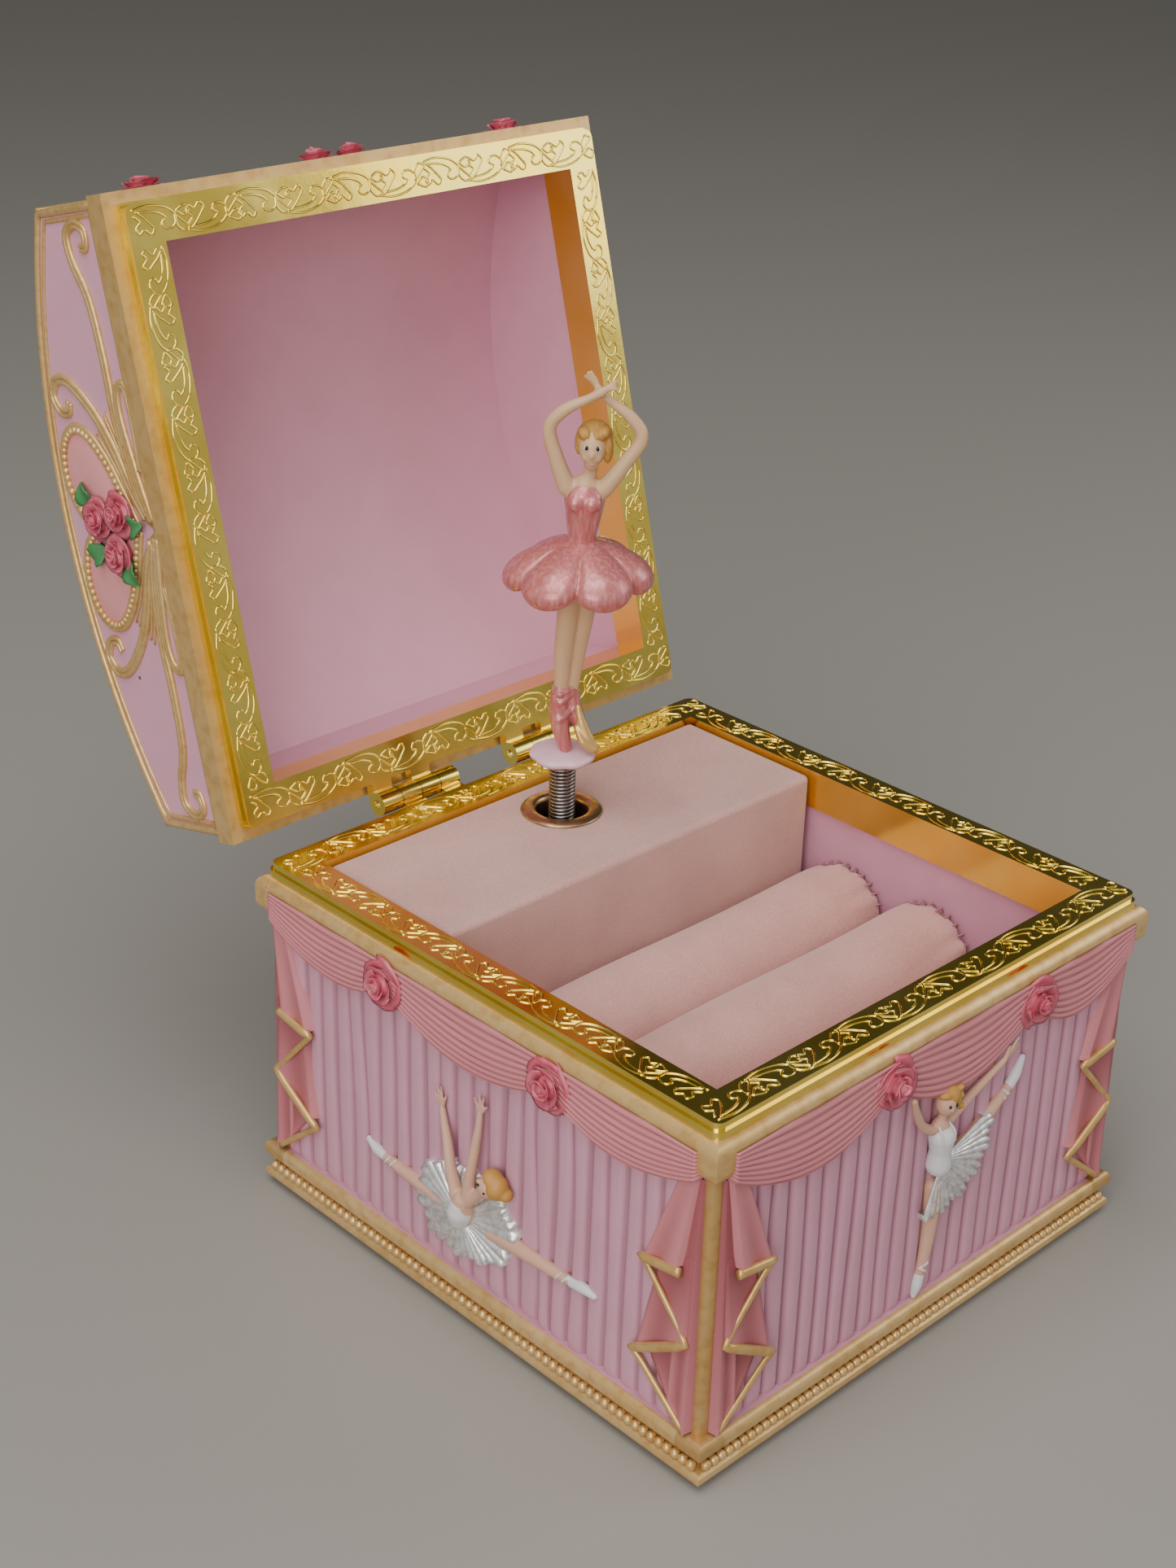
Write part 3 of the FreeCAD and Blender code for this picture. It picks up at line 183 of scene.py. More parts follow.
WALL_X = 54.0
WALL_Y = 55.0
RIM_LOW = 60.8
PLINTH_TOP = 9.7
COLUMN_REACH = 2.6
CAVITY_INSET = 4.6
LILAC = (0.585, 0.292, 0.395, 1)
LILAC_SHADE = (0.27, 0.115, 0.155, 1)
PINK = (0.57, 0.205, 0.235, 1)
PINK_SHADE = (0.32, 0.085, 0.10, 1)
GOLD = (0.66, 0.415, 0.145, 1)
GOLD_DULL = (0.54, 0.31, 0.085, 1)
# The pale colour of the painted highlight on the gold.
GOLD_HIGHLIGHT = (0.88, 0.70, 0.42, 1)
GOLD_DARK = (0.30, 0.145, 0.035, 1)
MADE = (("Colour", "Color"), ("Roughness", "Float"), ("Height", "Float"))


def shader_group(name, inputs):
    """An empty shader group: (group, its inputs, its output node)."""
    group = bpy.data.node_groups.new(name, "ShaderNodeTree")
    for label, kind, value in inputs:
        socket = group.interface.new_socket(label, in_out="INPUT", socket_type=f"NodeSocket{kind}")
        if value is not None:
            socket.default_value = value
    for label, kind in MADE:
        group.interface.new_socket(label, in_out="OUTPUT", socket_type=f"NodeSocket{kind}")
    return group, group.nodes.new("NodeGroupInput").outputs, group.nodes.new("NodeGroupOutput")


# The brushed gold: soft ochre gold with paler patches laid at random as painted highlight, and a few brown
# pits.
brushed_gold, given, put = shader_group(
    "brushed_gold", [("Place", "Vector", None), ("Fineness", "Float", 1.0), ("Pearl", "Float", 0.5)])
drag = add(brushed_gold, "ShaderNodeMapping", Vector=given["Place"], Scale=(420, 420, 520)).outputs[0]
streak = noise(brushed_gold, drag, given["Fineness"], 4.0)
patch = noise(brushed_gold, given["Place"], 70.0, 3.0)
pits = noise(brushed_gold, given["Place"], 700.0)
# Painted highlight: the gold goes paler in random patches along the streaks.
painted_highlight = combined(brushed_gold, "MULTIPLY", ranged(brushed_gold, patch, 0.2, 0.9, 0.1, 0.7), given["Pearl"],
                ranged(brushed_gold, streak, 0.2, 0.75, 0.45, 0.8))
tone = mixed(brushed_gold, ranged(brushed_gold, streak, 0.25, 0.6), GOLD_DULL, GOLD)
tone = mixed(brushed_gold, painted_highlight, tone, GOLD_HIGHLIGHT)
tone = mixed(brushed_gold, ranged(brushed_gold, pits, 0.26, 0.16), tone, GOLD_DARK)
fill(brushed_gold, put, Colour=tone, Roughness=ranged(brushed_gold, streak, 0.3, 0.7, 0.40, 0.30),
     Height=streak)

# Matt paint on resin: a faint mottle toward the shade colour, and painted shade in that colour where the
# surface lies deep.
matt_paint, given, put = shader_group(
    "matt_paint", [("Place", "Vector", None), ("Paint", "Color", LILAC), ("Shade", "Color", LILAC_SHADE),
                   ("Depth", "Float", 0.0)])
mottle = noise(matt_paint, given["Place"], 120.0, 6.0, 0.6)
coat = mixed(matt_paint, ranged(matt_paint, mottle, 0.25, 0.8, 0.0, 0.16), given["Paint"], given["Shade"])
# Painted shade: the coat goes to the shade colour as far as the depth given asks.
fill(matt_paint, put, Colour=mixed(matt_paint, given["Depth"], coat, given["Shade"]),
     Roughness=ranged(matt_paint, mottle, 0.3, 0.7, 0.5, 0.64),
     Height=noise(matt_paint, given["Place"], 1500.0))


def use_group(tree, group, **inputs):
    """Place a shader group in a material and give its outputs."""
    return add(tree, "ShaderNodeGroup", {"node_tree": group}, **inputs).outputs


def bumped(tree, height, distance, strength=0.5):
    """A normal from a height, with the distance in millimetres."""
    return add(tree, "ShaderNodeBump", Height=height, Distance=distance * MM, Strength=strength).outputs[0]


def gold_finish(name, pearl=0.6, fineness=1.0):
    """Brushed gold paint on resin."""
    material, tree, shader, place = new_finish(name, 0.35, 0.55)
    made = use_group(tree, brushed_gold, Place=place, Pearl=pearl, Fineness=fineness)
    fill(tree, shader, Base_Color=made["Colour"], Roughness=made["Roughness"],
         Normal=bumped(tree, made["Height"], 0.07))
    return material


def paint_finish(name, paint, shade, deep=None, roughness=None, relief=(0.03, 0.5), blush=None, **sockets):
    """Matt paint on resin. deep names the attribute that says how deep the surface lies, and so how much
    painted shade it gets.
    """
    material, tree, shader, place = new_finish(name, 0.55, **sockets)
    depth = add(tree, "ShaderNodeAttribute", {"attribute_name": deep}).outputs["Fac"] if deep else 0.0
    made = use_group(tree, matt_paint, Place=place, Paint=paint, Shade=shade, Depth=depth)
    colour = made["Colour"]
    if blush:
        colour = mixed(tree, ranged(tree, noise(tree, place, 240.0, 3.0), 0.45, 0.75), colour, blush)
    fill(tree, shader, Base_Color=colour, Roughness=made["Roughness"] if roughness is None else roughness,
         Normal=bumped(tree, made["Height"], *relief))
    return material


def part_gilt(tree, shader, gilt, plain, gold, colour, roughness, less, relief):
    """Paint that is gold where gilt is 1 and plain where it is 0."""
    fill(tree, shader, Base_Color=mixed(tree, gilt, plain, colour),
         Metallic=combined(tree, "MULTIPLY", gilt, 0.5), Normal=bumped(tree, gold["Height"], *relief),
         Roughness=combined(tree, "SUBTRACT", roughness, combined(tree, "MULTIPLY", gilt, less)))


casting_paint, tree, shader, place = new_finish("casting_paint", 0.45)
x, y, z = add(tree, "ShaderNodeSeparateXYZ", Vector=place).outputs
over = combined(tree, "GREATER_THAN", z, RIM_LOW * MM)
under = combined(tree, "LESS_THAN", z, PLINTH_TOP * MM)
insets = [combined(tree, "SUBTRACT", wall * MM, combined(tree, "ABSOLUTE", value, 0.0))
          for wall, value in ((WALL_X, x), (WALL_Y, y))]
near_corner = combined(tree, "MULTIPLY", *[combined(tree, "LESS_THAN", inset, COLUMN_REACH * MM)
                                           for inset in insets])
in_cavity = combined(tree, "MULTIPLY", *[combined(tree, "GREATER_THAN", inset, CAVITY_INSET * MM)
                                         for inset in insets])
gilt = combined(tree, "MULTIPLY", combined(tree, "MAXIMUM", over, under, near_corner),
                combined(tree, "SUBTRACT", 1.0, in_cavity))
gold = use_group(tree, brushed_gold, Place=place, Pearl=0.85)
# The columns, down through the plinth's corners, are painted part of the way to the dark brown.
on_column = combined(tree, "MULTIPLY", combined(tree, "SUBTRACT", near_corner, over), 0.42)
part_gilt(tree, shader, gilt, use_group(tree, matt_paint, Place=place)["Colour"], gold,
          mixed(tree, on_column, gold["Colour"], GOLD_DARK), 0.58, 0.22, (0.08, 0.5))


def paint_node(node, material):
    """Give a casting, as it came from the frame, its finish."""
    target = frame["nodes"][node]
    target.data.materials.clear()
    target.data.materials.append(material)


paint_node("base_casting", casting_paint)


# Curtain: the four walls are carved as a pleated stage curtain and painted lilac.
# Each is about 26 rounded pleats that wander a little, standing on the wall between the plinth and
# the rim, with painted shade in the grooves.

PLEATS = 26
PLEAT_SAMPLES = 12
PLEAT_RISE = 1.6
PLEAT_ROWS = 44
PLEAT_LEAN = 0.42
PLEAT_BEND = 0.33
PLEAT_FATNESS = (0.8, 1.12)
CURTAIN_LOW = 9.0
CURTAIN_HIGH = 62.0
CURTAIN_FOOT = 2.2
CORNER_GAP = 1.2
# A wall: its outward normal, the way along it, its distance from the middle, half its length.
Wall = namedtuple("Wall", "name normal run distance half")
WALLS = (Wall("left", (-1, 0), (0, -1), WALL_X, WALL_Y), Wall("right", (1, 0), (0, 1), WALL_X, WALL_Y),
         Wall("front", (0, -1), (1, 0), WALL_Y, WALL_X), Wall("back", (0, 1), (-1, 0), WALL_Y, WALL_X))


def grid_faces(rows, columns, closed=False):
    """Quads of a grid of points given row by row, closed round its columns if asked."""
    faces = []
    for low in range(0, (rows - 1) * columns, columns):
        for column in range(columns if closed else columns - 1):
            after = (column + 1) % columns
            faces.append((low + column, low + after, low + columns + after, low + columns + column))
    return faces


def turned_over(faces, wanted=True):
    """Faces that look the other way, if wanted."""
    return [face[::-1] for face in faces] if wanted else faces


def mesh_piece(name, shape, material, body="root", place=None, mend=False, smooth=True,
               attributes=None):
    """A piece from (points in millimetres, faces), with its finish, on its body.

    place moves the points to where they belong, and mend turns the faces outwards.
    """
    points, faces = shape
    points = np.asarray(place(points) if place else points, float)
    mesh = bpy.data.meshes.new(name)
    mesh.from_pydata([tuple(point) for point in points * MM], [], faces)
    mesh.validate()
    for label, values in (attributes or {}).items():
        mesh.attributes.new(label, "FLOAT", "POINT").data.foreach_set("value", np.asarray(values, float))
    mesh.polygons.foreach_set("use_smooth", [smooth] * len(mesh.polygons))
    mesh.materials.append(material)
    if mend:
        form = bmesh.new()
        form.from_mesh(mesh)
        bmesh.ops.recalc_face_normals(form, faces=form.faces)
        form.to_mesh(mesh)
        form.free()
    piece = placed(name, mesh)
    if body:
        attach(piece, body)
    return piece


def on_wall(wall, s, z, rise):
    """Points on a wall: s along it, z up, rise out from it."""
    s, z, rise = np.broadcast_arrays(s, z, rise)
    return np.stack([wall.normal[0] * (wall.distance + rise) + wall.run[0] * s,
                     wall.normal[1] * (wall.distance + rise) + wall.run[1] * s, z], -1)


curtain_paint = paint_finish("curtain_paint", LILAC, LILAC_SHADE, deep="groove")
for order, wall in enumerate(WALLS):
    wander = np.random.default_rng(40 + order)
    reach = wall.half - CORNER_GAP
    lean = wander.normal(0, PLEAT_LEAN, PLEATS + 1)
    bend = wander.normal(0, PLEAT_BEND, PLEATS + 1)
    fat = wander.uniform(*PLEAT_FATNESS, PLEATS + 1)
    t = np.linspace(0, PLEATS, PLEATS * PLEAT_SAMPLES + 1)
    pleat = np.minimum(t.astype(int), PLEATS - 1)
    share = t - pleat
    profile = (1 - np.abs(2 * share - 1) ** 3.2) ** 0.7
    up = np.linspace(0, 1, PLEAT_ROWS)[:, None]
    drift = ((lean[pleat] * (1 - share) + lean[pleat + 1] * share) * (up - 0.5)
             + (bend[pleat] * (1 - share) + bend[pleat + 1] * share) * np.sin(up * 5.2 + pleat * 0.6))
    s = (t / PLEATS - 0.5) * 2 * reach + drift
    s[:, 0] = -reach
    s[:, -1] = reach
    z = CURTAIN_LOW + (CURTAIN_HIGH - CURTAIN_LOW) * up
    foot = np.clip((z - CURTAIN_LOW) / CURTAIN_FOOT, 0, 1) ** 0.5
    rise = 0.1 + PLEAT_RISE * profile * fat[pleat] * (0.55 + 0.45 * foot)
    # Painted shade: the grooves between the pleats are painted darker.
    groove = np.broadcast_to(np.clip(1.25 - profile * 1.5, 0, 1), s.shape)
    mesh_piece(f"curtain_{wall.name}", (on_wall(wall, s, z, rise).reshape(-1, 3), grid_faces(*s.shape)),
               curtain_paint, attributes={"groove": groove.reshape(-1)})


# Swags: three bunches of pink cloth are carved along the top of each wall.
# The middle one hangs between two roses and the outer ones run down to the corner columns, and each is
# gathered in fine folds that follow its lower edge, with painted shade in the folds and along that edge.

FOLDS = 9
FOLD_SAMPLES = 6
FOLD_RISE = 0.5
SWAG_COLUMNS = 60
SWAG_TOP = 66.1
SWAG_PIN = 60.0
SWAG_RISE = 3.3
SWAG_SUNK = -0.1
MIDDLE_DEEPER = 1.2
OUTER_LEAN = 0.9
# Where the two roses of a wall stand along it, and how deep its outer swags hang.
SWAG_PLAN = {"left": (-21.0, 21.0, 4.6), "right": (-21.0, 21.0, 4.6),
             "front": (-15.0, 24.0, 6.8), "back": (-15.0, 24.0, 6.8)}
swag_paint = paint_finish("swag_paint", PINK, PINK_SHADE, deep="groove")


def swag(wall, start, end, deepest, lean):
    """One bunch from start to end along a wall, as (points, faces) and its painted shade.

    It hangs deepest below its pins, and lean moves its low point.
    """
    t = np.append(np.linspace(0, 1, SWAG_COLUMNS - 1), 1)
    v = np.linspace(0, 1, FOLDS * FOLD_SAMPLES + 1)[:, None]
    drop = np.sin(np.pi * t ** lean) ** 0.85
    low = SWAG_PIN - deepest * drop
    z = low + (SWAG_TOP - low) * v ** (1.0 + 0.25 * drop)
    fold = np.abs(np.sin(np.pi * v * FOLDS + 0.3 * np.sin(8 * t + 4 * v))) ** 0.7
    swell = np.clip(v / 0.09, 0, 1) ** 0.5 * (1 + 0.10 * np.sin(np.pi * np.clip(v * 1.2, 0, 1)) * drop)
    rise = SWAG_RISE * swell + FOLD_RISE * (fold - 0.5) * (0.7 + 0.3 * drop)
    rise = np.where(v == 0, SWAG_SUNK, rise)
    rise[:, -1] = SWAG_SUNK
    s = start + (end - start) * t + 0 * v
    # Painted shade: darker in the troughs of the folds, and along the lower edge where the cloth tucks under.
    groove = np.clip(0.95 - fold * 1.5, 0, 0.85) + np.where(v <= 0.5 / (FOLDS * FOLD_SAMPLES), 0.6, 0)
    faces = turned_over(grid_faces(*s.shape), end < start)
    return (on_wall(wall, s, z, rise).reshape(-1, 3), faces), groove.reshape(-1)


def gathered(parts):
    """Several (points, faces) as one."""
    faces = []
    total = 0
    for points, these in parts:
        faces += [tuple(total + corner for corner in face) for face in these]
        total += len(points)
    return np.concatenate([points for points, these in parts]), faces


for wall in WALLS:
    first, second, deep = SWAG_PLAN[wall.name]
    edge = wall.half - CORNER_GAP
    runs = ((first, -edge, deep, OUTER_LEAN), (second, edge, deep, OUTER_LEAN),
            (first, second, deep + MIDDLE_DEEPER, 1.0))
    shapes, painted_shades = zip(*[swag(wall, *run) for run in runs])
    mesh_piece(f"swags_{wall.name}", gathered(shapes), swag_paint,
               attributes={"groove": np.concatenate(painted_shades)})


# Drape tails: a pink cascade hangs from each end of the swags beside the corner column.
# It is folded back on itself three times, and its hem is a raised cord of brushed gold.

TAIL_RISE = 2.0
TAIL_ROWS = 12
TAIL_COLUMNS = 15
HEM_RADIUS = 0.9
HEM_FLAT = 0.75
HEM_SAMPLES = 16
# Each fold of the cascade: its upper inner, upper outer, lower inner and lower outer corners, as
# (distance from the wall's end, height). The path of the hem is given the same way.
TAIL_FOLDS = (((1.1, 60.5), (5.2, 59.0), (3.4, 42.6), (11.8, 40.8)),
              ((0.9, 46.0), (9.4, 40.5), (1.2, 28.4), (13.0, 21.8)),
              ((0.8, 29.5), (11.6, 21.5), (0.8, 10.2), (1.9, 10.4)),
              ((0.6, 60.5), (4.4, 59.0), (0.6, 10.0), (5.4, 12.5)))
TAIL_HEM = ((3.2, 42.0), (12.1, 40.5), (1.5, 28.4), (13.4, 20.9), (1.5, 10.8))
tail_paint = paint_finish("tail_paint", PINK, PINK_SHADE, deep="groove")
hem_gold = gold_finish("hem_gold", 0.45)


def smooth_path(points, count):
    """Points along a smooth curve that passes through the given ones."""
    points = np.asarray(points, float)
    around = np.vstack([2 * points[:1] - points[1:2], points, 2 * points[-1:] - points[-2:-1]])
    spans = len(around) - 3
    path = []
    for value in np.linspace(0, spans, count):
        i = min(int(value), spans - 1)
        t = value - i
        a, b, c, d = around[i:i + 4]
        path.append(0.5 * (2 * b + (c - a) * t + (2 * a - 5 * b + 4 * c - d) * t * t
                           + (3 * b - a - 3 * c + d) * t ** 3))
    return np.array(path)


def lofted(rings, capped=True):
    """A skin over rings of points, as (points, faces), closed at both ends if capped."""
    count = len(rings[0])
    faces = grid_faces(len(rings), count, closed=True)
    if capped:
        faces += [tuple(range(count))[::-1], tuple(range((len(rings) - 1) * count, len(rings) * count))]
    return np.concatenate(rings), faces


def tube(path, radius, sides=8, flat=1.0, up=(0, 0, 1), closed=False):
    """A round cord along a path, as (points, faces). flat squeezes it along up."""
    path = np.asarray(path, float)
    ahead = np.roll(path, -1, 0) if closed else np.vstack([path[1:], path[-1:]])
    behind = np.roll(path, 1, 0) if closed else np.vstack([path[:1], path[:-1]])
    tangent = ahead - behind
    tangent /= np.linalg.norm(tangent, axis=1)[:, None] + 1e-12
    side = np.cross(tangent, np.asarray(up, float))
    side /= np.linalg.norm(side, axis=1)[:, None] + 1e-12
    rise = np.cross(side, tangent)
    turn = np.linspace(0, 2 * np.pi, sides, endpoint=False)[None, :, None]
    points, faces = lofted(path[:, None] + np.broadcast_to(radius, len(path))[:, None, None]
                           * (np.cos(turn) * side[:, None] + flat * np.sin(turn) * rise[:, None]), not closed)
    if closed:
        last = len(points) - sides
        faces += [(last + k, last + (k + 1) % sides, (k + 1) % sides, k) for k in range(sides)]
    return points, faces


def tail(wall, end):
    """The cascade at one end of a wall: its folds of cloth, their painted shade and its hem."""
    cloth = []
    painted_shades = []
    v = np.linspace(0, 1, TAIL_ROWS)[:, None]
    u = np.linspace(0, 1, TAIL_COLUMNS)[None, :]
    for tier, corners in enumerate(TAIL_FOLDS):
        high_in, high_out, low_in, low_out = np.array(corners)[:, None, None]
        place = ((high_in * (1 - u[..., None]) + high_out * u[..., None]) * (1 - v[..., None])
                 + (low_in * (1 - u[..., None]) + low_out * u[..., None]) * v[..., None])
        behind = tier > 0
        crease = np.sin(np.pi * (u * 2.2 + 0.15)) * v
        rise = TAIL_RISE + 0.7 - 0.15 * tier + 0.35 * crease + 0.5 * v - 0.5 * (1 - v) * behind
        rise = rise * np.clip(np.minimum(u, 1 - u) * 14, 0.0, 1) ** 0.5
        points = on_wall(wall, (wall.half - place[..., 0]) * end, place[..., 1], rise).reshape(-1, 3)
        cloth.append((points, turned_over(grid_faces(TAIL_ROWS, TAIL_COLUMNS), end < 0)))
        # Painted shade: darker at the top and inner side of each fold that lies behind the one above, lighter
        # on the ridges of the crease.
        shade = 0.2 - 0.4 * crease + 0.6 * (1 - v) * behind + 0.5 * (1 - u) * behind
        painted_shades.append(np.clip(shade, 0, 1).reshape(-1))
    # The hem is one flat cord that runs to and fro, broader where it lies across.
    turns = len(TAIL_HEM) - 1
    t = np.linspace(0, turns, HEM_SAMPLES * turns + 1)
    inward, height = (np.interp(t, range(turns + 1), side) for side in zip(*TAIL_HEM))
    across = 0.5 + 0.5 * np.cos(np.pi * np.interp(t, (0, 0.8, 1.2, 1.8, 2.2, 2.8, 3.2, 4),
                                                  (0, 0, 1, 1, 2, 2, 3, 3)))
    path = on_wall(wall, (wall.half - inward) * end, height, TAIL_RISE + 0.75 + 0.6 * across)
    return cloth, painted_shades, tube(path, HEM_RADIUS * (0.72 + 0.33 * across), 8, HEM_FLAT, (*wall.normal, 0.001))


for wall in WALLS:
    ends = [tail(wall, end) for end in (-1, 1)]
    mesh_piece(f"tails_{wall.name}", gathered(ends[0][0] + ends[1][0]), tail_paint,
               attributes={"groove": np.concatenate(ends[0][1] + ends[1][1])})
    mesh_piece(f"tail_hems_{wall.name}", gathered([hem for cloth, painted_shades, hem in ends]), hem_gold)


# Plinth beads: a string of half-sunk beads runs round the band under the plinth's roll.
# They are cast with the box and picked out in the same brushed gold, about sixty to a side.

BAND_X = 55.7
BAND_Y = 56.7
BEAD_HEIGHT = 4.75
BEAD_PROUD = 0.75
BEAD_RADIUS = 0.98
BEADS = 62
# The rounded foot under the beads, as (distance out from the band, height).
FOOT_PROFILE = ((-0.3, 1.7), (0.9, 1.7), (1.4, 2.0), (1.55, 2.6), (1.4, 3.3), (0.9, 3.75), (-0.3, 3.9))

row_tree = bpy.data.node_groups.new("row_of_motifs", "GeometryNodeTree")
for label, kind, way in (("Geometry", "Geometry", "INPUT"), ("Motif", "Object", "INPUT"),
                         ("Count", "Int", "INPUT"), ("Start", "Vector", "INPUT"),
                         ("Step", "Vector", "INPUT"), ("Turn", "Float", "INPUT"),
                         ("Size", "Vector", "INPUT"), ("Finish", "Material", "INPUT"),
                         ("Geometry", "Geometry", "OUTPUT")):
    row_tree.interface.new_socket(label, in_out=way, socket_type=f"NodeSocket{kind}")
given = row_tree.nodes.new("NodeGroupInput").outputs
line = add(row_tree, "GeometryNodeMeshLine", {"mode": "OFFSET"}, Count=given["Count"],
           Start_Location=given["Start"], Offset=given["Step"]).outputs[0]
motif = add(row_tree, "GeometryNodeObjectInfo", Object=given["Motif"]).outputs["Geometry"]
turned = add(row_tree, "ShaderNodeCombineXYZ", Z=given["Turn"]).outputs[0]
laid = add(row_tree, "GeometryNodeInstanceOnPoints", Points=line, Instance=motif, Rotation=turned,
           Scale=given["Size"]).outputs[0]
real = add(row_tree, "GeometryNodeRealizeInstances", Geometry=laid).outputs[0]
coated = add(row_tree, "GeometryNodeSetMaterial", Geometry=real, Material=given["Finish"]).outputs[0]
row_tree.links.new(coated, row_tree.nodes.new("NodeGroupOutput").inputs[0])


def places_of(mesh):
    """Where a mesh's vertices lie."""
    places = np.empty(3 * len(mesh.vertices))
    mesh.vertices.foreach_get("co", places)
    return places.reshape(-1, 3)


def baked(holder):
    """What an object's modifiers make of it, as (points, faces) in its own measure."""
    made = bpy.data.meshes.new_from_object(holder.evaluated_get(bpy.context.evaluated_depsgraph_get()))
    shape = places_of(made), [tuple(polygon.vertices) for polygon in made.polygons]
    bpy.data.meshes.remove(made)
    return shape


def rows_of(name, shape, rows, material, body="root", place=None):
    """A piece made of rows of one shape. Each row: count, start, step in millimetres, turn, size."""
    motif = mesh_piece(f"{name}_motif", shape, material, body=None)
    sockets = {item.name: item.identifier for item in row_tree.interface.items_tree
               if item.in_out == "INPUT"}
    parts = []
    for count, start, step, turn, stretch in rows:
        holder = placed(f"{name}_row", bpy.data.meshes.new(f"{name}_row"))
        grow = holder.modifiers.new("row", "NODES")
        grow.node_group = row_tree
        for label, value in (("Motif", motif), ("Count", count), ("Start", [v * MM for v in start]),
                             ("Step", [v * MM for v in step]), ("Turn", turn), ("Size", list(stretch)),
                             ("Finish", material)):
            grow[sockets[label]] = value
        bpy.context.view_layer.update()
        points, faces = baked(holder)
        parts.append((points / MM, faces))
        bpy.data.objects.remove(holder)
    bpy.data.objects.remove(motif)
    return mesh_piece(name, gathered(parts), material, body, place)


def lathe(profile, sides=48, centre=(0, 0), capped=True):
    """A turned shape about Z, as (points, faces), from a profile of (radius, height)."""
    turn = np.linspace(0, 2 * np.pi, sides, endpoint=False)
    return lofted(np.array([[(centre[0] + r * math.cos(a), centre[1] + r * math.sin(a), h) for a in turn]
                            for r, h in profile]), capped)


moulding_gold = gold_finish("moulding_gold", 0.9)
bead = lathe([(max(BEAD_RADIUS * math.cos(a), 0.02), BEAD_RADIUS * math.sin(a))
              for a in np.linspace(-np.pi / 2, np.pi / 2, 7)], 9)
step_x = 2 * (BAND_X - 1) / (BEADS - 1)
step_y = 2 * (BAND_Y - 1) / (BEADS - 1)
bead_rows = [((1 - BAND_X, side * (BAND_Y + BEAD_PROUD)), (step_x, 0, 0)) for side in (-1, 1)]
bead_rows += [((side * (BAND_X + BEAD_PROUD), 1 - BAND_Y), (0, step_y, 0)) for side in (-1, 1)]
bead_rows = [(BEADS, (*start, BEAD_HEIGHT), step, 0, (1, 1, 1)) for start, step in bead_rows]
rows_of("plinth_beads", bead, bead_rows, moulding_gold)
# Under the beads the band swells out again to a rounded foot.
lip = [[(x * (BAND_X + out), y * (BAND_Y + out), height) for x, y in CORNERS]
       for out, height in FOOT_PROFILE]
mesh_piece("plinth_foot", lofted(lip, False), moulding_gold, smooth=False)


# Plated frames: two cast frames, bright gold plate, hinged together at the back.
# Their flat faces carry a running scroll of leaves in fine raised outline, which stands 0.15 mm proud.

FRAME_X = 55.0
FRAME_Y = 56.0
FRAME_FACE = 7.0
FRAME_TOP = 71.0
LINE_RADIUS = 0.23
SCROLLS = 5
SCROLL_LENGTH = 20.0
SCROLL_REACH = 2.3
# Half of one unit of the scroll: strokes as (along, across), each a share of the unit's length and width.
SCROLL_STROKES = (
    ((0.0, -1.0), (0.3, -1.22), (0.62, -0.95), (0.8, -0.35), (0.8, 0.25), (0.7, 0.62), (0.57, 0.56),
     (0.54, 0.15), (0.63, -0.1)),
    ((0.12, -0.82), (0.38, -0.72), (0.55, -0.45), (0.63, -0.12)),
    ((0.8, -0.3), (0.81, 0.5), (0.93, 0.98), (1.04, 0.78), (0.92, 0.2), (0.8, -0.3)),
    ((0.83, -0.55), (0.97, -0.12), (1.08, -0.34), (1.02, -0.9), (0.83, -0.55)),
    ((0.02, -0.6), (0.13, -0.1), (0.04, 0.3), (0.08, 0.78), (0.19, 0.5), (0.3, 0.9), (0.37, 0.5),
     (0.28, -0.05), (0.19, -0.5), (0.08, -0.9)),
)


def streaked(name, metallic, pattern, spread, first, second, rough, relief=None, stretch=None, **sockets):
    """Metal, or paint with metal in it, that wanders from one colour and brightness to another.

    pattern is (scale, detail), and spread and rough are ranges: (material, its nodes, its shader, place).
    """
    material, tree, shader, place = new_finish(name, 0.3, metallic, **sockets)
    if stretch:
        place = add(tree, "ShaderNodeMapping", Vector=place, Scale=stretch).outputs[0]
    streak = noise(tree, place, *pattern)
    fill(tree, shader, Base_Color=mixed(tree, ranged(tree, streak, *spread), first, second),
         Roughness=ranged(tree, streak, *rough))
    if relief:
        fill(tree, shader, Normal=bumped(tree, streak, *relief))
    return material, tree, shader, place


plated_gold, tree, shader, place = streaked(
    "plated_gold", 1.0, (60.0, 4.0), (0.3, 0.75), (0.93, 0.68, 0.10, 1), (1.0, 0.82, 0.20, 1),
    (0.3, 0.8, 0.12, 0.22))
fill(tree, shader, Normal=bumped(tree, noise(tree, place, 420.0), 0.03, 0.35))


def scroll_unit(length):
    """One unit of the scroll, its second half turned over, about its own start."""
    parts = []
    for half, flip in ((0, 1), (1, -1)):
        for stroke in SCROLL_STROKES:
            path = smooth_path(stroke, 6 * len(stroke))
            u = (path[:, 0] + half) * length / 2
            line = np.stack([u, flip * path[:, 1] * SCROLL_REACH, 0 * u], -1)
            parts.append(tube(line, LINE_RADIUS, 5, 0.9))
    return gathered(parts)


def scroll_rows(height, unit):
    """Rows of the scroll along the four bars of a frame."""
    rows = []
    for side in (-1, 1):
        bar = FRAME_Y - FRAME_FACE / 2
        start = 1.1 - FRAME_X
        run = -2 * start / SCROLLS
        rows.append((SCROLLS, (start, side * bar, height), (run, 0, 0), 0, (run / unit, 1, 1)))
        bar = FRAME_X - FRAME_FACE / 2
        start = FRAME_FACE + 0.7 - FRAME_Y
        run = -2 * start / SCROLLS
        rows.append((SCROLLS, (side * bar, start, height), (0, run, 0), math.pi / 2, (run / unit, 1, 1)))
    return rows


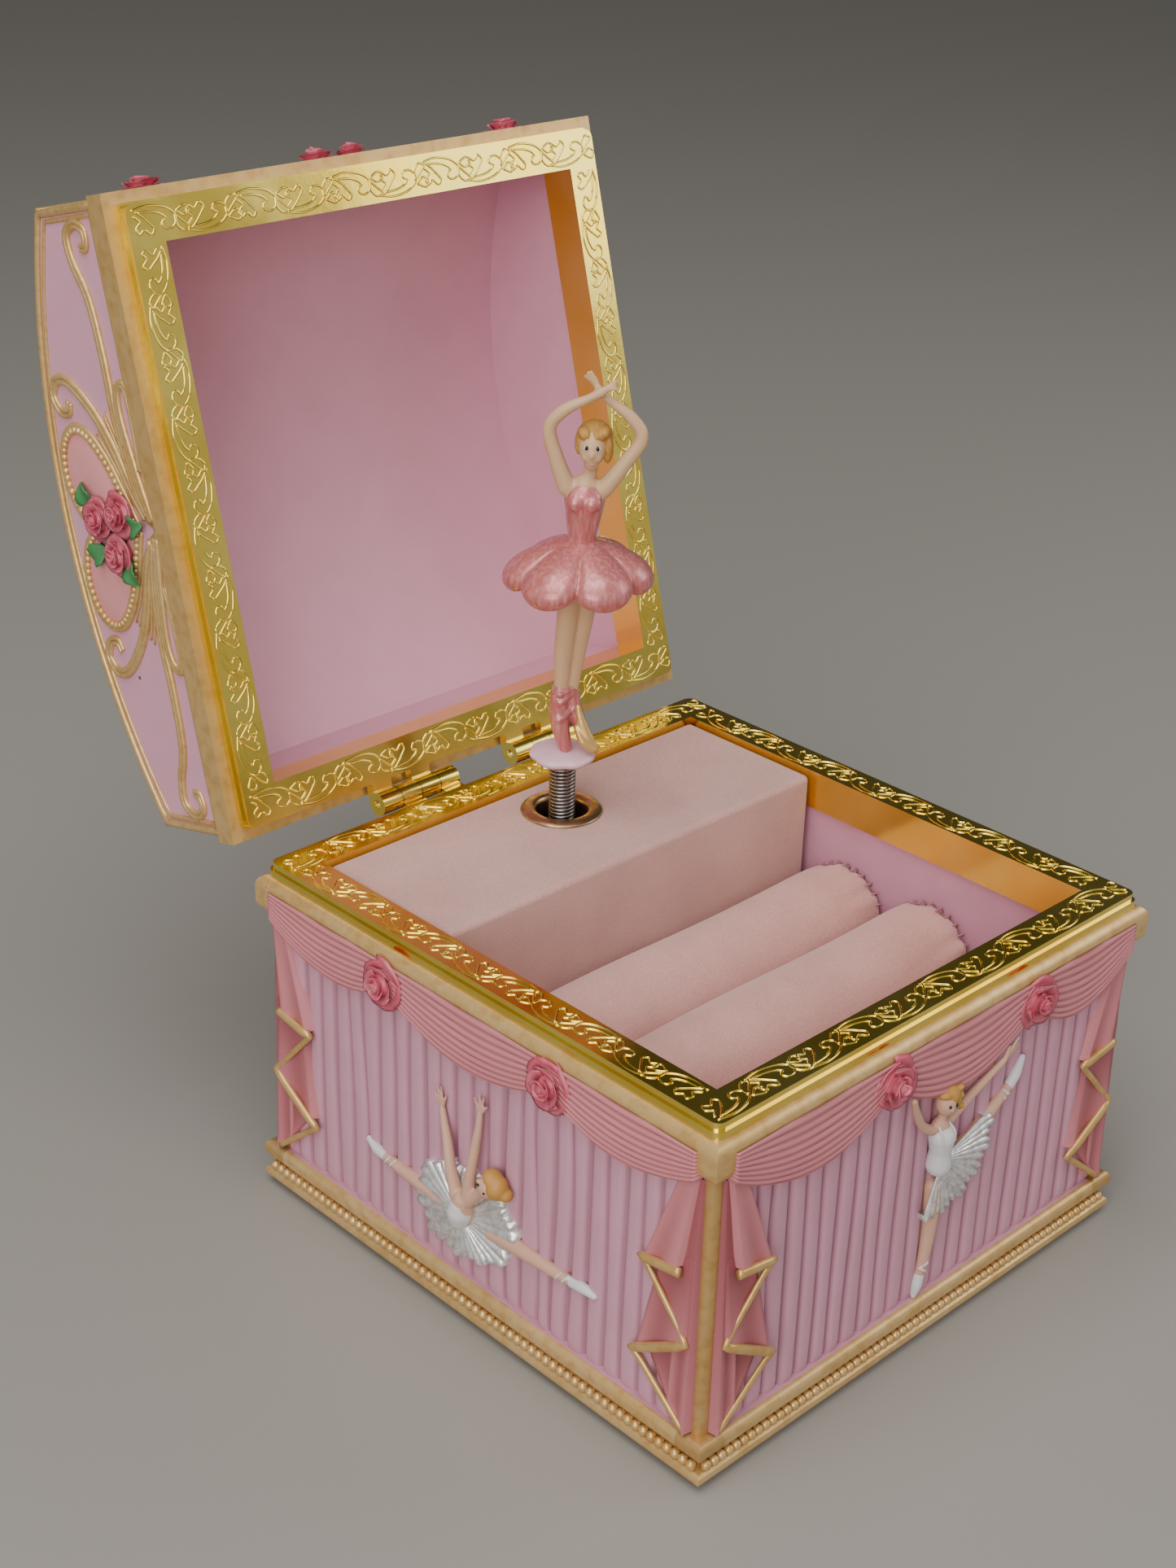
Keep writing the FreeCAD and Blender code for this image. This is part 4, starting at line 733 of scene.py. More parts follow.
hinge = next(joint for joint in frame["joints"] if joint["name"] == "lid_hinge")
HINGE = np.array(hinge["pos_m"]) / MM
OPEN_ANGLE = math.radians(hinge["range_deg"][1])
OPENING = np.array(Matrix.Rotation(-OPEN_ANGLE, 3, "X"))
LID_FACE = 2 * HINGE[2] - FRAME_TOP


def opened(points):
    """Points given with the lid closed, turned to where the open lid has them."""
    return (np.asarray(points, float) - HINGE) @ OPENING.T + HINGE


scroll = scroll_unit(SCROLL_LENGTH)
rows_of("base_scrollwork", scroll, scroll_rows(FRAME_TOP, SCROLL_LENGTH), plated_gold)
rows_of("lid_scrollwork", scroll, scroll_rows(LID_FACE, SCROLL_LENGTH), plated_gold, "lid",
        opened)
for node in ("base_bezel", "lid_bezel"):
    paint_node(node, plated_gold)


# Hinge pins: drawn steel wire, and beside them the steel of the movement.
# The metal parts that the cover hides are finished here too: bright steel, brass and bare die-casting.

def machined(name, colour, roughness, grain=900.0):
    """Bare metal with fine lines from its making."""
    dull = tuple(0.72 * channel for channel in colour[:3]) + (1,)
    return streaked(name, 1.0, (grain, 3.0), (0.35, 0.7), colour, dull,
                    (0.3, 0.7, roughness, roughness + 0.14))[0]


def clouded(name, roughness, pattern, first, second, **sockets):
    """Plastic or card, faintly clouded between two colours."""
    material, tree, shader, place = new_finish(name, roughness, **sockets)
    fill(tree, shader, Base_Color=mixed(tree, noise(tree, place, *pattern), first, second))
    return material


steel = machined("steel", (0.56, 0.56, 0.57, 1), 0.24)
brass = machined("movement_brass", (0.78, 0.55, 0.22, 1), 0.26)
zinc = machined("die_casting", (0.42, 0.42, 0.44, 1), 0.45, 300.0)
ivory = clouded("fan_plastic", 0.5, (500.0,), (0.75, 0.72, 0.62, 1), (0.66, 0.63, 0.54, 1))
for material, nodes in (
        (steel, ("hinge_pins", "movement_screws", "mainspring", "winding_arbor", "drum_arbor", "comb",
                 "comb_screws", "governor_worm")),
        (brass, ("bearing_posts", "great_wheel", "dancer_spindle", "winding_key", "music_drum",
                 "drum_pinion", "drum_wheel", "governor_idler", "governor_bracket")),
        (zinc, ("bedplate", "spring_housing")), (ivory, ("governor_fan",))):
    for node in nodes:
        paint_node(node, material)


# Feet: soft clear pads, stuck under the corners of the plinth.
# They are cast from clear plastic, a little milky, and grip the table.

paint_node("feet", clouded("foot_pad", 0.35, (700.0,), (0.72, 0.75, 0.76, 1), (0.60, 0.63, 0.65, 1), IOR=1.42,
                           Subsurface_Weight=0.4))


# Lid casting: a domed shell of cast resin, lilac outside and in.
# The edges of its ends and its walls are brushed with gold, and dark specks show in the paint inside.

DRAWN_SEAT = 73.95
DRAWN_FACE = 71.15
LID_SEAT = DRAWN_SEAT + (LID_FACE - DRAWN_FACE)
LID_END = 56.5
LID_WALL = 57.3
LID_RIM_TOP = LID_SEAT + 4.4
LID_EDGE = 0.75
LID_INNER = (52.5, 53.3)
SHOULDER = 97.6
CROWN = 110.6
SPECK = (0.10, 0.045, 0.06, 1)
lid_paint, tree, shader, place = new_finish("lid_paint", 0.5)
# The paint is laid out on the closed lid, so the place is turned back about the hinge first.
moved = add(tree, "ShaderNodeMapping", {"vector_type": "TEXTURE"}, Vector=place,
            Location=tuple((HINGE - OPENING @ HINGE) * MM), Rotation=(-OPEN_ANGLE, 0, 0)).outputs[0]
x, y, z = add(tree, "ShaderNodeSeparateXYZ", Vector=moved).outputs
x, y = (combined(tree, "ABSOLUTE", value, 0.0) for value in (x, y))
low = combined(tree, "LESS_THAN", z, LID_RIM_TOP * MM)
edge = combined(tree, "MULTIPLY", *[
    combined(tree, "GREATER_THAN", combined(tree, "SUBTRACT", value, (reach - LID_EDGE) * MM), 0.0)
    for value, reach in ((x, LID_END), (y, LID_WALL))])
outside = combined(tree, "MAXIMUM", *[combined(tree, "GREATER_THAN", value, reach * MM)
                                      for value, reach in zip((x, y), LID_INNER)])
gilt = combined(tree, "MULTIPLY", combined(tree, "MAXIMUM", low, edge), outside)
lid_gold = use_group(tree, brushed_gold, Place=moved, Pearl=0.4)
lid_lilac = use_group(tree, matt_paint, Place=moved, Paint=(0.635, 0.32, 0.43, 1),
                      Shade=(0.44, 0.20, 0.27, 1))
specks = add(tree, "ShaderNodeTexVoronoi", Vector=place, Scale=62.0, Randomness=1.0).outputs["Distance"]
speck = combined(tree, "MULTIPLY", ranged(tree, specks, 0.045, 0.03),
                 ranged(tree, noise(tree, place, 24.0, 1.0), 0.56, 0.62))
part_gilt(tree, shader, gilt, mixed(tree, speck, lid_lilac["Colour"], SPECK), lid_gold, lid_gold["Colour"],
          0.5, 0.16, (0.05, 0.3))
paint_node("lid_casting", lid_paint)


# Gold borders and scrolls of the lid's ends: raised lines cast on the end and brushed with gold.
# A band of rays rises from the middle of the rim, goes round a heart, and curls away in scrolls.

SCROLL_CORD = 0.62
RAY_CORD = 0.5
HEART_CORD = 0.6
PEARL_STEP = 1.32
PEARL_SIZE = 0.78
HEART_MIDDLE = (6.0, 96.0)
BORDER_FOOT = 78.9
# Each scroll: how far its two cords stand apart to either side, and its points, as
# (distance from the middle of the end, height).
SCROLL_LINES = (
    (0.72, ((2.2, 81.5), (8, 84.8), (14, 87.4), (19.5, 90.6), (24, 94.6), (27.2, 99), (27.4, 102.6),
            (24.8, 104.6), (21.9, 103.2), (21.6, 100.6), (23.4, 99.6))),
    (0.62, ((3, 80.9), (10, 83.4), (20, 84.9), (31, 84.8), (41, 85.6), (48, 88.4), (52.6, 88.6),
            (54.2, 85.6), (52.8, 82.9), (50.2, 83.2), (49.9, 85.0))),
    (0.5, ((1.5, 79.8), (8, 81.4), (15, 82.7), (21, 83.4), (25.2, 82.6), (25.9, 80.4), (22.4, 79.6),
           (15, 79.9), (10.5, 80.6))),
)
# The lowest of six rays, and how far each next one moves from it.
RAY_POINTS = np.array(((0.5, 79.4), (2.2, 82.2), (6, 85.6), (11.5, 88.6), (17.5, 92.6)))
RAY_SPREAD = np.array(((0.25, 0), (1.0, -0.25), (1.7, -0.7), (2.0, -1.0), (1.6, -1.9)))
HEART = ((0, 85.2), (6.2, 88.0), (12.4, 91.4), (17.2, 96.0), (18.2, 100.4), (15.4, 104.2), (10, 105.6),
         (4.4, 103.8), (0.6, 99.6))
lid_rise = LID_SEAT - DRAWN_SEAT
ornament_gold = gold_finish("ornament_gold", 0.8, 1.6)


def on_end(side, a, z, rise):
    """Points on an end of the closed lid: a along it, z up, rise out from it."""
    a, z, rise = np.broadcast_arrays(a, z, rise)
    return np.stack([side * (LID_END + rise), a, z + lid_rise], -1)


def end_cord(side, half, path, rise, radius, sides, flat=1.0, closed=False):
    """A cord on an end of the lid, along a path of (distance from the middle, height)."""
    return tube(on_end(side, half * path[:, 0], path[:, 1], rise), radius, sides, flat, (1, 0, 0.001), closed)


def offset_path(path, distance):
    """A flat path moved sideways."""
    ahead = np.gradient(path, axis=0)
    ahead /= np.linalg.norm(ahead, axis=1)[:, None] + 1e-12
    return path + distance * np.stack([-ahead[:, 1], ahead[:, 0]], -1)


def crown_height(a):
    """The height of the vault's outer face over the middle line of the end."""
    rise = CROWN - SHOULDER
    radius = (LID_WALL ** 2 + rise ** 2) / (2 * rise)
    return CROWN - radius + np.sqrt(radius ** 2 - np.asarray(a, float) ** 2)


def lid_piece(name, parts, material, mend=False):
    """A piece of the lid from parts that are given with the lid closed."""
    return mesh_piece(name, gathered(parts), material, "lid", opened, mend)


end_parts = []
heart_parts = []
pearl_parts = []
outline = smooth_path(HEART, 70)
steps = np.concatenate([[0], np.cumsum(np.linalg.norm(np.diff(outline, axis=0), axis=1))])
shares = np.linspace(0, 1, 9)[:, None]
for side in (-1, 1):
    for half in (-1, 1):
        for apart, points in SCROLL_LINES:
            path = smooth_path(points, 9 * len(points))
            for offset in (-apart, apart):
                end_parts.append(end_cord(side, half, offset_path(path, offset * 0.72), 0.12,
                                          SCROLL_CORD * np.linspace(1.25, 0.8, len(path)), 7))
        for share in np.arange(0, 3, 0.5):
            path = smooth_path(RAY_POINTS + share * RAY_SPREAD, 26)
            end_parts.append(end_cord(side, half, path, 0.1, RAY_CORD * np.linspace(1, 0.55, 26), 6))
        end_parts.append(end_cord(side, half, offset_path(outline, -0.9), 0.1, HEART_CORD, 8))
        for reached in np.arange(0.5, steps[-1], PEARL_STEP):
            a, z = (np.interp(reached, steps, outline[:, way]) for way in (0, 1))
            pearl_parts.append((bead[0] * PEARL_SIZE + on_end(side, half * a, z, 0.35), bead[1]))
        # The heart's field: a low pink cushion inside the beads.
        cushion = on_end(side, half * (outline[:, 0] * shares + HEART_MIDDLE[0] * (1 - shares)),
                         outline[:, 1] * shares + HEART_MIDDLE[1] * (1 - shares),
                         0.75 * (1 - shares ** 4) + 0.05)
        heart_parts.append((cushion.reshape(-1, 3),
                            turned_over(grid_faces(9, len(outline)), side * half < 0)))
    # The border of the end: two cords side by side that follow the rim, the walls and the vault.
    for inset, radius in ((0.5, 0.85), (2.0, 0.5)):
        reach = LID_WALL - inset
        low = BORDER_FOOT + inset * 0.4
        a = np.linspace(-reach, reach, 60)
        top = np.stack([a, crown_height(a * LID_WALL / reach) - lid_rise - inset], -1)
        walls = np.array([(reach, z) for z in np.linspace(top[-1, 1] - 1, low, 12)])
        foot = np.array([(v, low) for v in np.linspace(reach - 1, 1 - reach, 50)])
        path = np.vstack([top, walls, foot, walls[::-1] * (-1, 1)])
        end_parts.append(end_cord(side, 1, path, 0.0, radius, 7, 0.8, closed=True))
lid_piece("lid_end_scrolls", end_parts, ornament_gold)
lid_piece("heart_beads", pearl_parts, ornament_gold)
lid_piece("heart_fields", heart_parts, paint_finish("heart_pink", (0.72, 0.30, 0.31, 1), PINK_SHADE))
# The vault's long edges and the tops of the walls carry a gold cord too.
edges = ((side * reach, height) for side in (-1, 1)
         for height, reach in ((crown_height(LID_WALL), LID_WALL - 0.2), (79.0 + lid_rise, LID_WALL)))
lid_piece("lid_edge_cords", [tube([(x, y, z) for x in np.linspace(-LID_END, LID_END, 40)], 0.8, 7)
                             for y, z in edges], ornament_gold)


# Roses and leaves: cast apart in pink and green and glued on.
# A rose is a bud wrapped in fourteen thick petals that open outwards, and no two are the same.

ROSE_RADIUS = 4.6
ROSE_HEIGHT = 61.8
ROSE_RISE = 1.9
LID_ROSE_HEIGHT = 9.5
HEART_HEIGHT = 18.6
HEART_ROSE_RADIUS = 3.9
PETAL_THICK = 0.24
LEAF_LENGTH = 5.2
LEAF_THICK = 0.35
ROSE_BUD = ((0.02, 0.0), (0.8, 0.02), (0.72, 0.22), (0.4, 0.5), (0.16, 0.84), (0.02, 0.92))
# Layers of petals: how many, how far out, how wide in degrees, how tall, how far the lip turns out.
PETAL_LAYERS = ((2, 0.16, 210, 0.98, 0.03), (3, 0.34, 165, 0.96, 0.10), (4, 0.58, 125, 0.82, 0.2),
                (5, 0.80, 100, 0.56, 0.3))
LID_ROSES = ((-43, 4.1), (-4.1, 4.0), (4.1, 3.8), (43, 4.1))
HEART_ROSES = ((4.6, -1.2), (-2.2, 3.2), (-3.0, -4.2))
HEART_LEAVES = ((5.6, -3.2, -25), (-4.4, 5.0, 150), (-0.6, -5.6, -95), (3.4, 4.0, 60))


def slab(over, under):
    """A grid of points and the one beneath it as one closed (points, faces)."""
    rows, columns = over.shape[:2]
    shift = rows * columns
    ring = [*range(columns), *range(2 * columns - 1, shift, columns),
            *range(shift - 2, shift - columns - 1, -1), *range(shift - 2 * columns, 0, -columns)]
    faces = grid_faces(rows, columns)
    faces = faces + [tuple(corner + shift for corner in face[::-1]) for face in faces]
    faces += [(a, a + shift, b + shift, b) for a, b in zip(ring, ring[1:] + ring[:1])]
    return np.concatenate([over.reshape(-1, 3), under.reshape(-1, 3)]), faces


def petal(reach, start, width, tall, lip, draw):
    """One thick petal about +Z, as (points, faces), for a rose of radius 1."""
    u = np.linspace(-1, 1, 9)[None, :]
    v = np.linspace(0, 1, 8)[:, None]
    angle = start + u * (width / 2 * (0.55 + 0.45 * np.sin(np.pi / 2 * v)))
    top = tall * (1 - 0.16 * u ** 4 + draw.uniform(-0.05, 0.05) * u)
    wave = 0.05 * u + 0.025 * np.sin(5 * u + draw.uniform(0, 6)) * v
    r = reach * (0.4 + 0.6 * v ** 0.6) + lip * v ** 3 + wave
    z = top * v ** 0.85 - 0.5 * lip * v ** 6
    sheet = np.stack([r * np.cos(angle), r * np.sin(angle), z + 0 * u], -1)
    inward = sheet * (1 - PETAL_THICK * 0.3 / np.maximum(r, 0.16))[..., None]
    inward[..., 2] = sheet[..., 2] - 0.02
    return slab(sheet, inward)


def rose(radius, seed):
    """An open rose about +Z."""
    draw = random.Random(seed)
    parts = [lathe(ROSE_BUD, 14)]
    for count, reach, width, tall, lip in PETAL_LAYERS:
        turn = draw.uniform(0, 6.28)
        for k in range(count):
            start = turn + 2 * math.pi * k / count + draw.uniform(-0.15, 0.15)
            parts.append(petal(reach * draw.uniform(0.93, 1.06), start, math.radians(width),
                               tall * draw.uniform(0.9, 1.06), lip * draw.uniform(0.7, 1.3), draw))
    points, faces = gathered(parts)
    return points * (radius, radius, radius * 0.95), faces


def leaf(length, seed):
    """A pointed leaf, folded along its rib, lying on the XY plane."""
    draw = random.Random(seed)
    t = np.linspace(0, 1, 11)[:, None]
    u = np.linspace(-1, 1, 7)[None, :]
    half = 0.42 * length * np.sin(np.pi * t ** 0.8) ** 0.8 * (1 + 0.1 * np.sin(22 * t))
    arch = 0.22 * np.sin(np.pi * t * draw.uniform(0.8, 1))
    z = 0.25 + length * (0.14 * np.abs(u) * np.sin(np.pi * t) + arch)
    top = np.stack([length * t + 0 * u, half * u, z], -1)
    return slab(top, top - (0, 0, LEAF_THICK))


def standing(shape, place, across_way, out_way, turn=0.0):
    """A shape made about +Z, set upright on a surface with its ways along and out."""
    points, faces = shape
    spun = np.array(points) @ np.array(Matrix.Rotation(turn, 3, "Z")).T
    return spun @ np.array([across_way, (0, 0, 1), out_way], float) + np.asarray(place, float), faces


rose_pink = paint_finish("rose_pink", (0.55, 0.095, 0.155, 1), (0.30, 0.035, 0.06, 1), roughness=0.42,
                         relief=(0.04, 0.5), blush=(0.68, 0.20, 0.26, 1), Coat_Weight=0.12)
leaf_green = paint_finish("leaf_green", (0.05, 0.22, 0.07, 1), (0.02, 0.09, 0.03, 1))

roses = [standing(rose(ROSE_RADIUS, 10 * order + spot), on_wall(wall, s, ROSE_HEIGHT, ROSE_RISE),
                  (*wall.run, 0), (*wall.normal, 0))
         for order, wall in enumerate(WALLS) for spot, s in enumerate(SWAG_PLAN[wall.name][:2])]
base_roses = mesh_piece("wall_roses", gathered(roses), rose_pink, "root", mend=True)
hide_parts("base_roses")

roses = [standing(rose(radius, 70 + 10 * order + spot),
                  (x, side * (LID_WALL - 0.3), LID_SEAT + LID_ROSE_HEIGHT), (-side, 0, 0), (0, side, 0))
         for order, side in enumerate((-1, 1)) for spot, (x, radius) in enumerate(LID_ROSES)]
lid_roses = lid_piece("lid_roses", roses, rose_pink, mend=True)
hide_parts("lid_wall_roses")

heart_height = LID_SEAT + HEART_HEIGHT
roses = [standing(rose(HEART_ROSE_RADIUS, 130 + 10 * order + spot),
                  (side * (LID_END + 0.3), y, heart_height + z), (0, side, 0), (side, 0, 0))
         for order, side in enumerate((-1, 1)) for spot, (y, z) in enumerate(HEART_ROSES)]
end_roses = lid_piece("heart_roses", roses, rose_pink, mend=True)
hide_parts("lid_end_roses")
leaves = [standing(leaf(LEAF_LENGTH, 160 + spot), (side * (LID_END + 0.6), y, heart_height + z), (0, 1, 0),
                   (side, 0, 0), math.radians(turn))
          for side in (-1, 1) for spot, (y, z, turn) in enumerate(HEART_LEAVES)]
end_leaves = lid_piece("heart_leaves", leaves, leaf_green, mend=True)
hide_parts("lid_end_leaves")


# Rear cover and eyelet: the cover is card flocked in dusty pink, and a brass eyelet lines its hole.
# The cover is glued into the back of the box over the movement, and the eyelet is pressed in.

FLOCK = (0.60, 0.35, 0.32, 1)
FLOCK_SHADE = (0.44, 0.235, 0.21, 1)
SPINDLE_BACK = 37.0
COVER_TOP = 70.2
# The eyelet's section, as (radius, height over the cover).
EYELET = ((5.0, -3.4), (5.5, -3.4), (5.6, -0.3), (7.7, 0.0), (7.9, 0.15), (7.6, 0.42), (6.9, 0.68),
          (6.1, 0.82), (5.4, 0.7), (5.02, 0.3), (4.95, -0.4), (5.0, -3.4))


def flocked(name, colour, shade):
    """Short pile: soft mottling, a fine tooth and a sheen."""
    material, tree, shader, place = new_finish(name, 0.95, 0.0, Sheen_Weight=0.35, Sheen_Roughness=0.5)
    cloud = noise(tree, place, 55.0, 5.0, 0.6)
    pile = noise(tree, place, 2600.0)
    worn = combined(tree, "ADD", combined(tree, "MULTIPLY", ranged(tree, cloud, 0.3, 0.75), 0.45),
                    combined(tree, "MULTIPLY", ranged(tree, pile, 0.3, 0.7), 0.4))
    fill(tree, shader, Base_Color=mixed(tree, worn, colour, shade), Normal=bumped(tree, pile, 0.12, 0.6))
    return material


paint_node("mechanism_cover", flocked("flock", FLOCK, FLOCK_SHADE))
paint_node("ring_tray", clouded("card", 0.85, (300.0, 4.0), (0.42, 0.32, 0.31, 1), (0.34, 0.26, 0.25, 1)))
eyelet_brass = machined("eyelet_brass", (0.50, 0.34, 0.19, 1), 0.26, 600.0)
section = lathe([(r, COVER_TOP + h) for r, h in EYELET], 64, (0, SPINDLE_BACK), capped=False)
eyelet = mesh_piece("cover_eyelet", section, eyelet_brass, "root", mend=True)
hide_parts("eyelet")


# Ring rolls: three foam rolls in dusty pink suede, glued side by side in the tray.
# Each is blown up a little as cloth over its foam, gathered and stitched at both ends.

SUEDE = (0.67, 0.375, 0.345, 1)
SUEDE_SHADE = (0.50, 0.245, 0.225, 1)
ROLL_SWELL = 0.55
ROLL_STEPS = 16
ROLL_PRESSURE = 3.0
ROLL_SIDES = 64
ROLL_RINGS = 52
END_SHARES = (0.05, 0.3, 0.55, 0.78, 0.93)
GATHER_DEPTH = 0.42
HELD_HEIGHT = 2.5
THREAD_RADIUS = 0.17
# A stitch from the roll's back over its edge: (inset from the end, depth, slant).
STITCH = ((2.1, 1.0, 0), (1.1, 0.62, 0.02), (0.5, 1.0, 0.04), (0.2, 1.9, 0.05))
suede = flocked("suede", SUEDE, SUEDE_SHADE)
thread = paint_finish("thread", (0.42, 0.20, 0.22, 1), (0.25, 0.10, 0.12, 1))


def roll_shell(low, high, seed):
    """The skin of one roll before it is blown up, with gathers that run in from its ends."""
    draw = np.random.default_rng(seed)
    half = (high[0] - low[0]) / 2 - 0.5
    middle = (low[1] + high[1]) / 2
    radius = (high[1] - low[1]) / 2 - 0.25
    centre = high[2] - radius - 0.55
    depth = centre - low[2] - 0.3
    angles = np.linspace(0, 2 * np.pi, ROLL_SIDES, endpoint=False)
    around = np.array([(radius * math.cos(a), centre + radius * math.sin(a)) if math.sin(a) >= 0 else
                       (radius * math.copysign(abs(math.cos(a)) ** 0.35, math.cos(a)),
                        centre - depth * abs(math.sin(a)) ** 0.5) for a in angles])
    inner = np.array([(0.0, centre)])
    stations = np.concatenate([[-1.0] * 5, np.linspace(-0.985, 0.985, ROLL_RINGS), [1.0] * 5])
    shares = np.concatenate([END_SHARES, np.ones(ROLL_RINGS), END_SHARES[::-1]])
    rings = []
    pleat = draw.uniform(0, 6.28, 3)
    for place, share in zip(stations, shares):
        near = np.clip((abs(place) - 0.66) / 0.34, 0, 1)
        ripple = np.sin(11 * angles + pleat[0]) + 0.6 * np.sin(19 * angles + pleat[1])
        ripple = ripple * GATHER_DEPTH * near ** 1.5
        sag = 0.25 * np.sin(place * 5 + pleat[2]) * (1 - near)
        ring = inner + (around - inner) * share * (1 + ripple[:, None] / radius - 0.075 * near ** 4)
        x = place * half + (0.9 * (1 - share) ** 2 * -np.sign(place) if share < 1 else 0)
        rings.append(np.stack([np.full(ROLL_SIDES, x + (low[0] + high[0]) / 2), middle + ring[:, 0],
                               ring[:, 1] + sag * (ring[:, 1] > centre)], -1))
    return lofted(rings)


def blow_up(piece, pressure, cap):
    """Fill a skin as cloth, with no vertex moving further than the cap."""
    at_rest = places_of(piece.data)
    held = piece.vertex_groups.new(name="held")
    lowest = at_rest[:, 2].min()
    held.add([v.index for v in piece.data.vertices if v.co.z < lowest + HELD_HEIGHT * MM], 1.0, "REPLACE")
    cloth = piece.modifiers.new("cloth", "CLOTH")
    cloth.settings.use_pressure = True
    cloth.settings.uniform_pressure_force = pressure
    cloth.settings.vertex_group_mass = "held"
    cloth.settings.effector_weights.gravity = 0
    cloth.settings.quality = 6
    cloth.point_cache.frame_end = ROLL_STEPS
    for step in range(1, ROLL_STEPS + 1):
        bpy.context.scene.frame_set(step)
    move = baked(piece)[0] - at_rest
    piece.modifiers.clear()
    bpy.context.scene.frame_set(1)
    length = np.linalg.norm(move, axis=1)[:, None]
    move *= np.minimum(1, cap / np.maximum(length, 1e-9))
    piece.data.vertices.foreach_set("co", (at_rest + move).reshape(-1))
    piece.data.update()


def subdivided(piece):
    """Smooth a piece by one step, the same for every view."""
    fine = piece.modifiers.new("fine", "SUBSURF")
    fine.levels = fine.render_levels = 1


for order, label in enumerate(("ring_roll_back", "ring_roll_middle", "ring_roll_front")):
    low, high = (np.array(corner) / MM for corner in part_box(label))
    roll = mesh_piece(f"suede_roll_{order + 1}", roll_shell(low, high, 5 + order), suede, "root",
                      mend=True)
    blow_up(roll, ROLL_PRESSURE, ROLL_SWELL * MM)
    subdivided(roll)
    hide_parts(label)
    stitches = []
    radius = (high[1] - low[1]) / 2
    for side, end in ((-1, low[0]), (1, high[0])):
        for angle in np.radians(np.arange(8, 174, 13)):
            ring = [(end - side * inset, (low[1] + high[1]) / 2 + (radius - drop) * math.cos(angle + slant),
                     high[2] - radius + (radius - drop) * math.sin(angle + slant))
                    for inset, drop, slant in STITCH]
            stitches.append(tube(smooth_path(ring, 7), THREAD_RADIUS, 5, up=(0.3, 0.5, 0.8)))
    mesh_piece(f"roll_stitches_{order + 1}", gathered(stitches), thread, "root", mend=True)


# Coil spring: bright wire wound close, from inside the eyelet up to the dancer's disc.
# The box bends it as the lid comes down; here it is built straight and belongs to no body.

WIRE_PITCH = 0.76
WIRE_RADIUS = 0.31
WIRE_SAMPLES = 22
COIL_RADIUS = 2.26
COIL_LOW = 56.3
COIL_HIGH = 82.0
coil_steel = machined("coil_steel", (0.36, 0.33, 0.31, 1), 0.24, 1500.0)
turns = (COIL_HIGH - COIL_LOW) / WIRE_PITCH
t = np.linspace(0, turns * 2 * np.pi, int(turns * WIRE_SAMPLES))
helix = np.stack([COIL_RADIUS * np.cos(t), SPINDLE_BACK + COIL_RADIUS * np.sin(t),
                  COIL_LOW + WIRE_PITCH * t / (2 * np.pi)], -1)
spring = mesh_piece("wire_spring", tube(helix, WIRE_RADIUS, 7), coil_steel, body=None)
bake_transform(spring)
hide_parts("coil_spring")


# Dancer: a moulded figure on a lobed disc, painted by hand, who stands on one toe with crossed wrists.
# Her limbs and head, hair, bodice and shoes are modelled as overlapping forms and fused into one skin each,
# and her skirt is lofted.

FACING = math.radians(-45)
FUSE = 0.34
FINE_FUSE = 0.3
CAPS = (0.97, 0.8, 0.45)
PETALS = 6
# The skirt's and the disc's outlines, as (reach, height), with how deep the petals are cut for the skirt.
SKIRT = ((2.3, 125.4, 0), (3.4, 125.1, 0.1), (5.6, 124.4, 0.3), (8.3, 123.2, 0.6), (10.8, 121.6, 0.85),
         (12.3, 119.6, 1), (12.9, 117.8, 1), (12.6, 116.3, 1), (11.6, 115.3, 1), (10.4, 115.5, 1),
         (9.0, 117.0, 0.9), (6.6, 118.8, 0.6), (3.0, 119.6, 0.2), (0.3, 119.8, 0))
DISC = ((0.4, 81.15), (4.6, 81.15), (5.9, 81.5), (6.35, 82.1), (6.3, 82.6), (5.7, 83.0), (4.2, 83.35),
        (2.4, 83.75), (0.4, 83.9))
STUB = ((0.1, 80.1), (1.5, 80.1), (1.7, 80.4), (1.7, 81.6), (0.1, 81.6))


def limb(points, radii, count=22, sides=14, flat=1.0, up=(0, 1, 0.001)):
    """A rounded limb along a smooth path, as (points, faces)."""
    path = smooth_path(points, count)
    wide = np.interp(np.linspace(0, len(points) - 1, count), range(len(points)), radii)
    start, end = path[0] - path[1], path[-1] - path[-2]
    head = [path[0] + start / np.linalg.norm(start) * wide[0] * cap for cap in CAPS]
    foot = [path[-1] + end / np.linalg.norm(end) * wide[-1] * cap for cap in CAPS[::-1]]
    shrink = np.array([math.sqrt(1 - cap * cap) for cap in CAPS])
    wide = np.concatenate([wide[0] * shrink, wide, wide[-1] * shrink[::-1]])
    return tube(np.vstack([head, path, foot]), wide, sides, flat, up)


def ball(centre, reach, turn=(0, 0, 0)):
    """An ellipsoid, as (points, faces)."""
    swing = np.linspace(-np.pi / 2, np.pi / 2, 13)
    points, faces = lathe([(max(math.cos(a), 0.01), math.sin(a)) for a in swing], 20)
    spin = np.eye(3)
    for angle, axis in zip(turn, "XYZ"):
        spin = np.array(Matrix.Rotation(math.radians(angle), 3, axis)) @ spin
    return (points * reach) @ spin.T + centre, faces


